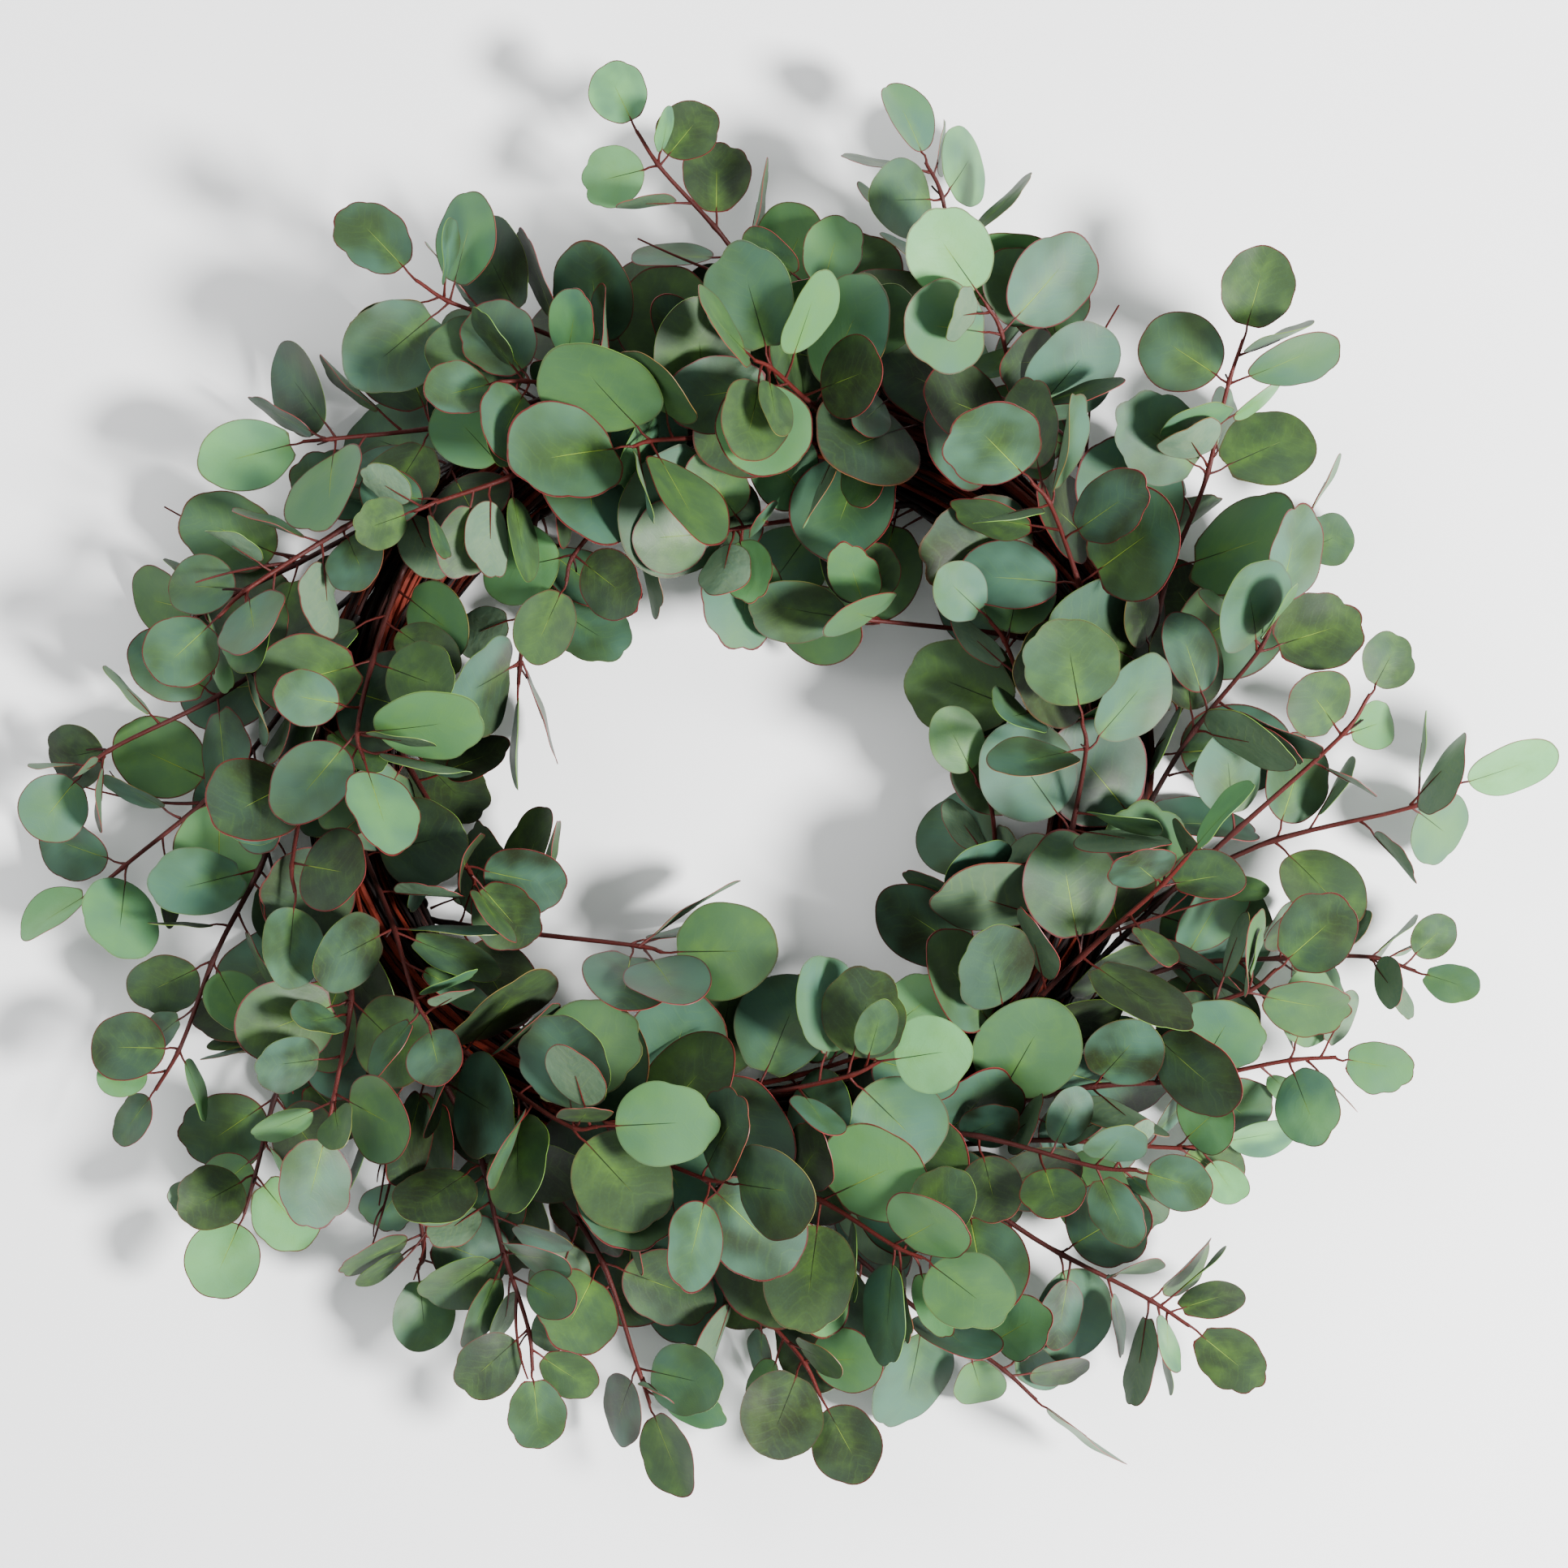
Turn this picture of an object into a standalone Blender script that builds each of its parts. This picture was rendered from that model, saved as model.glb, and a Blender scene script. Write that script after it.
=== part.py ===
"""Eucalyptus wreath, lying face up: leafy sprays tucked into a ring of wound twigs.

The ring's back rests on z = 0 and its face looks up (+Z). Twelve o'clock is +Y and three o'clock is +X.
The layout is worked out in millimetres round the ring's centre, then moved so that the middle of the
whole wreath stands on the origin, and written in metres. Clock angles are in degrees and run
counter-clockwise from +X. Angles round the bundle of twigs run from its outer edge (0) over its face (90)
to its inner edge (180). A chance draw is always seeded, so every run gives the same wreath.
"""

import math
import random
from typing import NamedTuple

import bpy
from mathutils import Matrix, Vector
from mathutils.bvhtree import BVHTree

MM = 0.001

# The ring of twigs, a bundle of thick strands that wind round a middle one
RING_RADIUS = 176.0
RING_LOBES = ((2, 0.8, 2.5), (5, 0.0, 1.5))  # lobes round the ring, their phase in radians, their height
STRAND_RADIUS = 7.6
MIDDLE_RADIUS = 8.7  # of the middle strand, which the others wind round and nearly touch
STRAND_GAP = 0.7
STRAND_SIDES = 5
STRAND_STEPS = 30
OUTER_STRANDS = 6
TWIST_TURNS = 1
STRAND_PITCH = 2 * STRAND_RADIUS + STRAND_GAP
BUNDLE_RADIUS = STRAND_PITCH + STRAND_RADIUS

# The ring's height, for each outer strand to rest on one flat face of its own, cut at z = 0
REST_DEPTH = 0.4
FLAT_DEPTH = STRAND_RADIUS * math.cos(math.pi / STRAND_SIDES)
CONTACT_TURN = math.radians(TWIST_TURNS * 180 / STRAND_STEPS)
RING_HEIGHT = STRAND_PITCH * math.cos(CONTACT_TURN) + FLAT_DEPTH - REST_DEPTH

# Stems: their thickness, how they leave the ring and bend, and how near they lie to it
STEM_SIDES = 4
STEM_ROOT_RADIUS = 2.3
STEM_TIP_RADIUS = 1.35
ROOT_DEPTH = 5.0
LEAVE_ALONG = 0.315
LEAVE_OFF = 0.105
ARRIVE_SHARE = 0.3
STEM_BOW = 0.10
STEM_ZIGZAG = 1.6
HELD_SHARE = 0.7
STEM_ROOM = 0.4
STEM_CLEAR = 0.32
STEM_NEAR = 0.95
SETTLE_STEPS = 60
SETTLE_MARGIN = 0.02
STEM_TRIES = 60
TRIES_TO_SPREAD = 20

# How far a second and later try may move a stem's ends
ROOT_CLOCK_DRIFT = 3.0
ROOT_SIDE_DRIFT = 25.0
TIP_CLOCK_DRIFT = 2.0
TIP_RADIUS_DRIFT = 6.0
TIP_HEIGHT_DRIFT = 12.0

# Leaf pairs along the stem, as shares of it, and where a pair sits on its stretch of stem
FIRST_PAIR = 0.10
LAST_PAIR = 0.86
NODE_SHARE = 0.12
LOST_LEAVES = 0.10

# A leaf's stalk and blade
STALK_SINK = 1.0
PETIOLE_WIDTH = 1.2
PETIOLE_SHARE = 0.17
PETIOLE_LEAST = 5.0
PETIOLE_RANGE = (0.8, 1.3)
LEAF_THICKNESS = 0.8
LENGTH_RANGE = (0.9, 1.1)
WIDTH_RANGE = (0.76, 1.0)
FOLD_RANGE = (0.02, 0.22)
CURL_RANGE = (-0.04, 0.10)
TWIST_SPREAD = 0.07
BROADEST_SHIFT = 0.04
SIDE_SWELL = 1.03
SMALL_LEAF = 44.0
LARGE_LEAF = 57.5

# How a leaf stands, in degrees, and how far its face strays from facing out of the wreath
PAIR_TURN = 32.0
TURN_SPREAD = 14.0
LEAN_RANGE = (48, 78)
TIP_LEAN_RANGE = (3, 16)
ROLL_SPREAD = 20.0
EDGE_ON_LEAVES = 0.15
EDGE_ON_ROLL = (45, 75)
FACING_SPREAD = 0.22
LEAF_TURN_OUT = 0.4

# Trying a leaf again: looser, and smaller after a while, until it is clear of everything
LEAF_TRIES = 80
TRIES_TO_LOOSEN = 50
SHRINK_AFTER = 30
SHRINK_STEP = 0.005
EDGE_ROOM = 0.7
FLOOR_ROOM = 2.0

# The open hole that every leaf stays out of: left, right, bottom and top from the ring's centre
HOLE = (-76.0, 74.0, -40.0, 50.0)


class Spray(NamedTuple):
    """A leafy stem: where it is tucked in, where its stem ends, and its leaves."""

    root: float  # clock angle where it leaves the ring
    side: float  # angle round the bundle where it leaves
    clock: float  # clock angle of the stem's tip
    radius: float  # the tip's distance from the ring's centre
    height: float  # the tip's height over the surface
    pairs: int  # pairs of opposite leaves below the tip leaf
    base_leaf: float  # length of the lowest leaves
    tip_leaf: float  # length of the tip leaf


SPRAYS = (
    # Outer edge, round from the top
    Spray(70, 20, 98, 302, 60, 4, 58, 28),
    Spray(90, 60, 122, 268, 85, 4, 60, 42),
    Spray(112, 10, 142, 252, 50, 3, 54, 46),
    Spray(126, 30, 163, 246, 75, 3, 49, 36),
    Spray(136, 350, 166, 266, 35, 3, 52, 36),
    Spray(154, 0, 180, 303, 45, 3, 58, 30),
    Spray(162, 350, 191, 304, 30, 3, 54, 38),
    Spray(174, 20, 209, 306, 50, 4, 50, 30),
    Spray(192, 60, 222, 246, 80, 3, 56, 42),
    Spray(198, 0, 222, 308, 40, 4, 54, 36),
    Spray(212, 350, 238, 276, 35, 2, 58, 34),
    Spray(222, 50, 252, 293, 58, 4, 55, 30),
    Spray(238, 20, 263, 298, 45, 3, 54, 38),
    Spray(252, 0, 277, 296, 45, 4, 56, 38),
    Spray(268, 10, 296, 328, 52, 4, 62, 42),
    Spray(283, 40, 310, 336, 55, 4, 60, 36),
    Spray(294, 350, 322, 291, 40, 3, 56, 34),
    Spray(302, 20, 335, 313, 62, 4, 60, 32),
    Spray(322, 350, 344, 336, 46, 4, 52, 28),
    Spray(330, 30, 7, 300, 75, 3, 60, 27),
    Spray(336, 0, 359, 340, 55, 3, 56, 40),
    Spray(346, 50, 15, 262, 90, 3, 58, 42),
    Spray(356, 350, 24, 294, 45, 3, 58, 28),
    Spray(8, 30, 40, 312, 75, 4, 65, 40),
    Spray(26, 0, 54, 254, 60, 3, 52, 40),
    Spray(46, 10, 72, 300, 55, 3, 56, 38),
    # Face of the ring, round from the top
    Spray(56, 70, 81, 230, 78, 3, 60, 30),
    Spray(62, 100, 86, 188, 112, 3, 56, 50),
    Spray(78, 120, 106, 155, 100, 3, 56, 57),
    Spray(88, 80, 120, 206, 105, 3, 56, 38),
    Spray(108, 95, 140, 186, 100, 3, 60, 30),
    Spray(146, 90, 178, 166, 92, 3, 56, 46),
    Spray(163, 60, 196, 205, 80, 3, 56, 38),
    Spray(188, 100, 220, 178, 95, 3, 56, 30),
    Spray(222, 90, 250, 172, 102, 3, 58, 46),
    Spray(240, 80, 270, 186, 105, 3, 58, 48),
    Spray(252, 125, 298, 150, 92, 3, 58, 40),
    Spray(266, 60, 292, 240, 92, 3, 66, 46),
    Spray(282, 90, 316, 262, 95, 3, 56, 30),
    Spray(310, 80, 349, 214, 108, 3, 67, 36),
    Spray(330, 110, 8, 165, 98, 3, 58, 46),
    Spray(10, 80, 44, 192, 112, 3, 58, 46),
    Spray(32, 70, 61, 246, 92, 3, 63, 44),
    # Inner edge, round from the top
    Spray(52, 170, 92, 112, 62, 3, 52, 42),
    Spray(92, 160, 130, 118, 66, 3, 54, 38),
    Spray(124, 180, 157, 106, 52, 2, 52, 44),
    Spray(172, 170, 204, 128, 66, 2, 52, 38),
    Spray(202, 180, 249, 89, 56, 2, 50, 54),
    Spray(262, 160, 300, 138, 60, 3, 54, 44),
    Spray(318, 170, 358, 116, 66, 3, 56, 30),
    Spray(352, 150, 30, 140, 88, 3, 54, 40),
    Spray(20, 185, 51, 93, 56, 2, 54, 44),
    # Over the ring's face at the lower right, between two of the outer sprays
    Spray(312, 40, 341, 268, 78, 3, 62, 42),
)


class Leaf(NamedTuple):
    """A leaf: its stalk's foot in the stem, its own axes, and its sizes."""

    foot: Vector
    axis: Vector  # along the stalk and the midrib
    normal: Vector  # out of the upper face
    length: float
    width: float
    petiole: float
    fold: float  # how far the two halves rise from the midrib
    curl: float  # how far the tip bends down
    twist: float  # how far one edge rises over the other

    def place(self, across, along, over=0.0):
        """A point of the leaf: across the midrib, along it from the foot, and over its surface."""
        blade = max(along - self.petiole, 0.0)
        bent = self.fold * abs(across) - self.curl * blade * blade / self.length
        turned = self.twist * across * blade / self.length
        side = self.axis.cross(self.normal)
        return self.foot + side * across + self.axis * along + self.normal * (bent + turned + over)


class Shape(NamedTuple):
    """A closed mesh as points and faces, with what a clash test needs."""

    points: list
    faces: list
    tree: BVHTree
    low: Vector
    high: Vector


def shape_of(points, faces):
    low = Vector([min(p[i] for p in points) for i in range(3)])
    high = Vector([max(p[i] for p in points) for i in range(3)])
    return Shape(points, faces, BVHTree.FromPolygons(points, faces), low, high)


def clash(a, b):
    """Whether two shapes cross."""
    for i in range(3):
        if a.low[i] > b.high[i] or b.low[i] > a.high[i]:
            return False
    return bool(a.tree.overlap(b.tree))


def polar(clock, radius, height):
    angle = math.radians(clock)
    return Vector((radius * math.cos(angle), radius * math.sin(angle), height))


def ring_point(clock, side, reach):
    """A point off the bundle's centre line, at a clock angle and towards one side of the bundle."""
    angle = math.radians(clock)
    wander = sum(height * math.sin(lobes * angle + phase) for lobes, phase, height in RING_LOBES)
    turn = math.radians(side)
    return polar(clock, RING_RADIUS + wander + reach * math.cos(turn), RING_HEIGHT + reach * math.sin(turn))


def tube_faces(rings, sides, closed):
    """Faces of a tube whose rings of points follow each other, turned inwards."""
    faces = []
    for step in range(rings if closed else rings - 1):
        here = step * sides
        there = (step + 1) % rings * sides
        for i in range(sides):
            j = (i + 1) % sides
            faces.append((here + i, here + j, there + j))
            faces.append((here + i, there + j, there + i))
    if not closed:
        faces.append(tuple(reversed(range(sides))))
        faces.append(tuple((rings - 1) * sides + i for i in range(sides)))
    return faces


def strand_shape(number):
    """One closed hoop of the ring, flat underneath where it rests. Number 0 is the middle one."""
    reach = STRAND_PITCH if number else 0.0
    radius = STRAND_RADIUS if number else MIDDLE_RADIUS
    points = []
    for step in range(STRAND_STEPS):
        clock = 360 * step / STRAND_STEPS
        centre = ring_point(clock, 360 * number / OUTER_STRANDS + TWIST_TURNS * clock, reach)
        outward = polar(clock, 1, 0)
        for corner in range(STRAND_SIDES):
            turn = 2 * math.pi * (corner + 0.5) / STRAND_SIDES - math.pi / 2
            point = centre + radius * (outward * math.cos(turn) + Vector((0, 0, math.sin(turn))))
            point.z = max(point.z, 0.0)
            points.append(point)
    faces = tube_faces(STRAND_STEPS, STRAND_SIDES, True)
    return shape_of(points, [face[::-1] for face in faces])


def settle(ring, point, room):
    """The point, pushed out of the ring until nothing of the ring is nearer than room."""
    for _ in range(SETTLE_STEPS):
        near, normal, _, gap = ring.find_nearest(point)
        outward = point - near
        outside = outward.dot(normal) > 0
        if outside and gap >= room:
            break
        direction = outward.normalized() if outside and gap > SETTLE_MARGIN / 2 else normal
        point = near + direction * (room + SETTLE_MARGIN)
    return point


def bezier(a, b, c, d, t):
    s = 1 - t
    return a * s**3 + b * 3 * s * s * t + c * 3 * s * t * t + d * t**3


def stem_radius(t):
    return STEM_ROOT_RADIUS + (STEM_TIP_RADIUS - STEM_ROOT_RADIUS) * t


def facing_at(place):
    """The way leaves face at a place: up, and away from the bundle's centre line."""
    middle = ring_point(math.degrees(math.atan2(place.y, place.x)), 0, 0)
    return (Vector((0, 0, 1)) + (place - middle).normalized() * LEAF_TURN_OUT).normalized()


def stem_frame(place, along):
    """The stem's own directions at a place: beside it and above it."""
    beside = along.cross(facing_at(place)).normalized()
    return beside, beside.cross(along)


def stem_shares(pairs):
    """How far along the stem its points lie: the root, one for each pair, and the tip."""
    step = (LAST_PAIR - FIRST_PAIR) / (pairs - 1)
    return [0.0] + [FIRST_PAIR + step * pair for pair in range(pairs)] + [1.0]


def stem_ends(spray, draw, spread):
    """The root, just under the bundle's skin, and the tip, each moved by chance as far as spread allows."""
    root_clock = spray.root + draw.uniform(-ROOT_CLOCK_DRIFT, ROOT_CLOCK_DRIFT) * spread
    root_side = spray.side + draw.uniform(-ROOT_SIDE_DRIFT, ROOT_SIDE_DRIFT) * spread
    tip_clock = spray.clock + draw.uniform(-TIP_CLOCK_DRIFT, TIP_CLOCK_DRIFT) * spread
    tip_radius = spray.radius + draw.uniform(-TIP_RADIUS_DRIFT, TIP_RADIUS_DRIFT) * spread
    tip_height = spray.height + draw.uniform(-TIP_HEIGHT_DRIFT, TIP_HEIGHT_DRIFT) * spread
    root = ring_point(root_clock, root_side, BUNDLE_RADIUS - ROOT_DEPTH)
    return root, polar(tip_clock, tip_radius, tip_height)


def stem_route(spray, ring, draw, spread):
    """Points from the root to the tip. The stem leaves along the ring, on its skin, and bends to its tip."""
    root, tip = stem_ends(spray, draw, spread)
    along = Vector((-root.y, root.x, 0)).normalized()
    off = (ring_point(spray.root, spray.side, 1) - ring_point(spray.root, spray.side, 0)).normalized()
    span = (tip - root).length
    leave = root + (along * LEAVE_ALONG + off * LEAVE_OFF) * span
    beside, above = stem_frame(tip, (tip - leave).normalized())
    arrive = tip - (tip - leave).normalized() * span * ARRIVE_SHARE
    arrive += (beside * draw.uniform(-STEM_BOW, STEM_BOW) + above * draw.uniform(0, STEM_BOW)) * span
    route = []
    for step, t in enumerate(stem_shares(spray.pairs)):
        point = bezier(root, leave, arrive, tip, t)
        if 0 < t < 1:
            point += beside * STEM_ZIGZAG * (1 if step % 2 else -1)
        if t < HELD_SHARE:
            point = settle(ring, point, stem_radius(t) + STEM_ROOM)
        route.append(point)
    return route


def stem_shape(route, grow=0.0):
    """A tapering tube along a route, its flat sides beside and above it."""
    last = len(route) - 1
    shares = stem_shares(last - 1)
    points = []
    for i, centre in enumerate(route):
        along = (route[min(i + 1, last)] - route[max(i - 1, 0)]).normalized()
        beside, above = stem_frame(centre, along)
        radius = stem_radius(shares[i]) + grow
        for corner in range(STEM_SIDES):
            turn = 2 * math.pi * (corner + 0.5) / STEM_SIDES
            points.append(centre + (beside * math.cos(turn) + above * math.sin(turn)) * radius)
    return shape_of(points, [face[::-1] for face in tube_faces(len(route), STEM_SIDES, False)])


def leaf_side(leaf, hand, steps, grow, stalk):
    """One side of a leaf's outline, from the stalk's foot or the blade's joint up to just below the tip."""
    half = (leaf.width / 2 + grow) * SIDE_SWELL
    reach = leaf.length / 2 + grow
    middle = leaf.petiole + leaf.length / 2
    narrow = PETIOLE_WIDTH / 2 + grow
    side = [(hand * narrow, 0.0)] if stalk else []
    side.append((hand * narrow, leaf.petiole))
    for step in range(1, steps):
        share = step / steps
        turn = math.pi * (share - BROADEST_SHIFT * math.sin(math.pi * share) ** 2)
        side.append((hand * half * math.sin(turn), middle - reach * math.cos(turn)))
    return side


def leaf_shape(leaf, grow=0.0, stalk=True):
    """A leaf blade with its stalk, as a thin closed plate folded along the midrib."""
    left = leaf_side(leaf, -1, 3 if leaf.length < SMALL_LEAF else 4, grow, stalk)
    right = leaf_side(leaf, 1, 3 if leaf.length < LARGE_LEAF else 4, grow, stalk)
    outline = left + [(0.0, leaf.petiole + leaf.length + grow)] + right[::-1]
    count = len(outline)
    joint = 1 if stalk else 0
    tip = len(left)
    other = count - 1 - joint
    top = [(joint, i + 1, i) for i in range(joint + 1, tip)]
    top += [(other, i + 1, i) for i in range(tip, other - 1)]
    top.append((joint, other, tip))
    if stalk:
        top.append((0, count - 1, other, joint))
    thick = LEAF_THICKNESS / 2 + grow
    points = [leaf.place(x, y, thick) for x, y in outline] + [leaf.place(x, y, -thick) for x, y in outline]
    faces = top + [tuple(i + count for i in reversed(face)) for face in top]
    faces += [(i, (i + 1) % count, (i + 1) % count + count, i + count) for i in range(count)]
    return shape_of(points, faces)


def leaf_at(spray, route, tier, hand, draw, attempt):
    """One try at a leaf: hand is -1 or 1 for the two of a pair, and 0 for the tip leaf."""
    last = len(route) - 1
    segment = min(tier + 1, last - 1)
    share = NODE_SHARE if hand else 1.0
    place = route[segment].lerp(route[segment + 1], share)
    along = (route[segment + 1] - route[segment]).normalized()
    beside, above = stem_frame(place, along)
    shares = stem_shares(spray.pairs)
    along_share = shares[segment] + (shares[segment + 1] - shares[segment]) * share

    # Which way the stalk leaves the stem
    loose = 1 + attempt / TRIES_TO_LOOSEN
    turn = math.radians(PAIR_TURN * (1 if tier % 2 else -1) + draw.gauss(0, TURN_SPREAD) * loose)
    lean = math.radians(draw.uniform(*LEAN_RANGE))
    away = (beside * math.cos(turn) + above * math.sin(turn)) * hand
    if not hand:
        turn = draw.uniform(-math.pi, math.pi)
        lean = math.radians(draw.uniform(*TIP_LEAN_RANGE))
        away = beside * math.cos(turn) + above * math.sin(turn)
    axis = (along * math.cos(lean) + away * math.sin(lean)).normalized()

    # Which way the blade faces
    wish = facing_at(place) + Vector([draw.gauss(0, FACING_SPREAD) for _ in range(3)])
    normal = (wish - axis * wish.dot(axis)).normalized()
    roll = draw.gauss(0, ROLL_SPREAD)
    if draw.random() < EDGE_ON_LEAVES:
        roll += draw.choice((-1, 1)) * draw.uniform(*EDGE_ON_ROLL)
    normal = Matrix.Rotation(math.radians(roll), 3, axis) @ normal

    # Its size
    half = stem_radius(along_share) * math.cos(math.pi / STEM_SIDES)
    foot = place + beside * hand * half - axis * STALK_SINK
    length = spray.base_leaf + (spray.tip_leaf - spray.base_leaf) * along_share
    length *= draw.uniform(*LENGTH_RANGE) * (1 - max(0, attempt - SHRINK_AFTER) * SHRINK_STEP)
    width = length * draw.uniform(*WIDTH_RANGE)
    petiole = STALK_SINK + max(PETIOLE_LEAST, length * PETIOLE_SHARE * draw.uniform(*PETIOLE_RANGE))
    return Leaf(foot, axis, normal, length, width, petiole,
                draw.uniform(*FOLD_RANGE), draw.uniform(*CURL_RANGE), draw.gauss(0, TWIST_SPREAD))


def in_hole(shape):
    left, right, bottom, top = HOLE
    return any(left < p.x < right and bottom < p.y < top for p in shape.points)


class Layout:
    """Where every strand, stem and leaf lies, with nothing crossing anything else."""

    def __init__(self):
        self.strands = [strand_shape(number) for number in range(OUTER_STRANDS + 1)]
        points = [p for strand in self.strands for p in strand.points]
        faces = [tuple(n * STRAND_STEPS * STRAND_SIDES + i for i in face)
                 for n, strand in enumerate(self.strands) for face in strand.faces]
        self.ring = shape_of(points, faces)
        self.routes = []
        self.stems = []
        for number, spray in enumerate(SPRAYS):
            self.grow_stem(number, spray)
        self.leaves = [[] for _ in SPRAYS]
        self.shapes = [[] for _ in SPRAYS]
        most = max(spray.pairs for spray in SPRAYS)
        for tier in range(most + 1):
            for number, spray in enumerate(SPRAYS):
                self.grow_leaves(number, spray, tier)
        self.centre = self.middle()

    def grow_stem(self, number, spray):
        """The first stem that lies against the ring and is clear of it and of the stems before it."""
        draw = random.Random(number + 1)
        for attempt in range(STEM_TRIES):
            route = stem_route(spray, self.ring.tree, draw, attempt / TRIES_TO_SPREAD)
            held = clash(stem_shape(route, STEM_NEAR), self.ring)
            shape = stem_shape(route, STEM_CLEAR)
            if held and not any(clash(shape, other) for other in [self.ring, *self.stems]):
                break
        else:
            raise RuntimeError(f"spray {number + 1} finds no way clear")
        self.routes.append(route)
        self.stems.append(stem_shape(route))

    def grow_leaves(self, number, spray, tier):
        """The pair of one tier, counted from the root, or the tip leaf after the last pair."""
        if tier > spray.pairs:
            return
        for hand in (0,) if tier == spray.pairs else (-1, 1):
            draw = random.Random(1000 * (number + 1) + 10 * tier + hand)
            if hand and draw.random() < LOST_LEAVES:
                continue
            for attempt in range(LEAF_TRIES):
                leaf = leaf_at(spray, self.routes[number], tier, hand, draw, attempt)
                if self.is_clear(number, leaf):
                    self.leaves[number].append(leaf)
                    self.shapes[number].append((leaf_shape(leaf), leaf_shape(leaf, stalk=False)))
                    break

    def is_clear(self, number, leaf):
        """Whether a leaf is clear of the surface, the hole, the ring and all that has grown so far."""
        whole = leaf_shape(leaf, EDGE_ROOM)
        if whole.low.z < FLOOR_ROOM or in_hole(whole) or clash(whole, self.ring):
            return False
        blade = leaf_shape(leaf, EDGE_ROOM, False)
        if clash(blade, self.stems[number]):
            return False
        if any(clash(whole, other) for i, other in enumerate(self.stems) if i != number):
            return False
        for i, shapes in enumerate(self.shapes):
            for full, bare in shapes:
                if i != number and clash(whole, full):
                    return False
                if i == number and (clash(blade, full) or clash(whole, bare)):
                    return False
        return True

    def middle(self):
        """The middle of the whole wreath's box, on the surface."""
        shapes = self.strands + self.stems + [full for shapes in self.shapes for full, _ in shapes]
        low = [min(shape.low[i] for shape in shapes) for i in range(2)]
        high = [max(shape.high[i] for shape in shapes) for i in range(2)]
        return Vector(((low[0] + high[0]) / 2, (low[1] + high[1]) / 2, 0))


def material(name, colour, roughness):
    made = bpy.data.materials.new(name)
    made.use_nodes = True
    shader = made.node_tree.nodes["Principled BSDF"]
    shader.inputs["Base Color"].default_value = (*colour, 1)
    shader.inputs["Roughness"].default_value = roughness
    shader.inputs["Metallic"].default_value = 0.0
    made.diffuse_color = (*colour, 1)
    return made


def mesh_object(name, shape, centre, finish, collection):
    mesh = bpy.data.meshes.new(name)
    mesh.from_pydata([(p - centre) * MM for p in shape.points], [], shape.faces)
    mesh.materials.append(finish)
    made = bpy.data.objects.new(name, mesh)
    collection.objects.link(made)
    return made


def make_strand(number, layout):
    bark = material(f"strand_{number + 1}_bark", (0.075 + 0.01 * number, 0.028, 0.02), 0.75)
    mesh_object(f"twig_strand_{number + 1}", layout.strands[number], layout.centre, bark,
                bpy.context.scene.collection)


def make_spray(number, layout):
    """One leafy stem, its leaves fused to it by a Boolean union."""
    name = f"spray_{number + 1:02d}"
    tint = random.Random(number).uniform(0.8, 1.2)
    bark = material(f"{name}_stem", (0.13, 0.035, 0.025), 0.6)
    green = material(f"{name}_leaves", (0.09 * tint, 0.19, 0.10 * tint), 0.55)
    body = mesh_object(name, layout.stems[number], layout.centre, bark, bpy.context.scene.collection)
    leaves = bpy.data.collections.new(f"{name}_leaves")
    bpy.context.scene.collection.children.link(leaves)
    for full, _ in layout.shapes[number]:
        mesh_object("leaf", full, layout.centre, green, leaves)
    union = body.modifiers.new("Fuse leaves", "BOOLEAN")
    union.operation = "UNION"
    union.operand_type = "COLLECTION"
    union.collection = leaves
    union.solver = "EXACT"
    union.material_mode = "TRANSFER"
    bpy.context.view_layer.objects.active = body
    bpy.ops.object.modifier_apply(modifier=union.name)
    for leaf in list(leaves.objects):
        bpy.data.objects.remove(leaf)
    bpy.data.collections.remove(leaves)


def main():
    for old in list(bpy.data.objects):
        bpy.data.objects.remove(old)
    layout = Layout()
    for number in range(OUTER_STRANDS + 1):
        make_strand(number, layout)
    for number in range(len(SPRAYS)):
        make_spray(number, layout)


main()
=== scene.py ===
"""Eucalyptus wreath on a pale floor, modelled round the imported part.

The layout repeats the part's own rules and seeds, in millimetres round the ring's centre, so that every
fine stem, leaf and twig lies where its plain solid does. It is moved and written in metres only where a
mesh gets its points. Clock angles are in degrees and run counter-clockwise from +X. Angles round the
bundle of twigs run from its outer edge (0) over its face (90) to its inner edge (180).
"""

import functools
import math
import random
from typing import NamedTuple

import bmesh
import bpy
import numpy as np
from bpy.props import FloatProperty, FloatVectorProperty, IntProperty, PointerProperty
from mathutils import Matrix, Vector
from mathutils.bvhtree import BVHTree


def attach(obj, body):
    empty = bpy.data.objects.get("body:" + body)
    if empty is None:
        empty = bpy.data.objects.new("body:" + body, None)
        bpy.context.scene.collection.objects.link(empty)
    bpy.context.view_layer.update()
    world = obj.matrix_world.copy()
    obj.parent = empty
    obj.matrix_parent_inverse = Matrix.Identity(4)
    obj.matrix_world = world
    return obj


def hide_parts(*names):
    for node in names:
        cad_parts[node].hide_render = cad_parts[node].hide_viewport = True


bl_info = {
    "name": "Eucalyptus wreath",
    "version": (1, 0, 0),
    "blender": (4, 5, 0),
    "location": "View3D > Sidebar > Wreath",
    "description": "Models the twigs, stems and leaves of a eucalyptus wreath",
    "category": "Add Mesh",
}

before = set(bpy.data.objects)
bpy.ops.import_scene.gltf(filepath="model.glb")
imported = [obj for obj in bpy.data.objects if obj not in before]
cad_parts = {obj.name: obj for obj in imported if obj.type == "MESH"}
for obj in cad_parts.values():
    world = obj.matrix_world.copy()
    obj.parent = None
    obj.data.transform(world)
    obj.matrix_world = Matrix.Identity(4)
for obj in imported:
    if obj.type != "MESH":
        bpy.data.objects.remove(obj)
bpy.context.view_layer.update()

MM = 0.001

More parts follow.
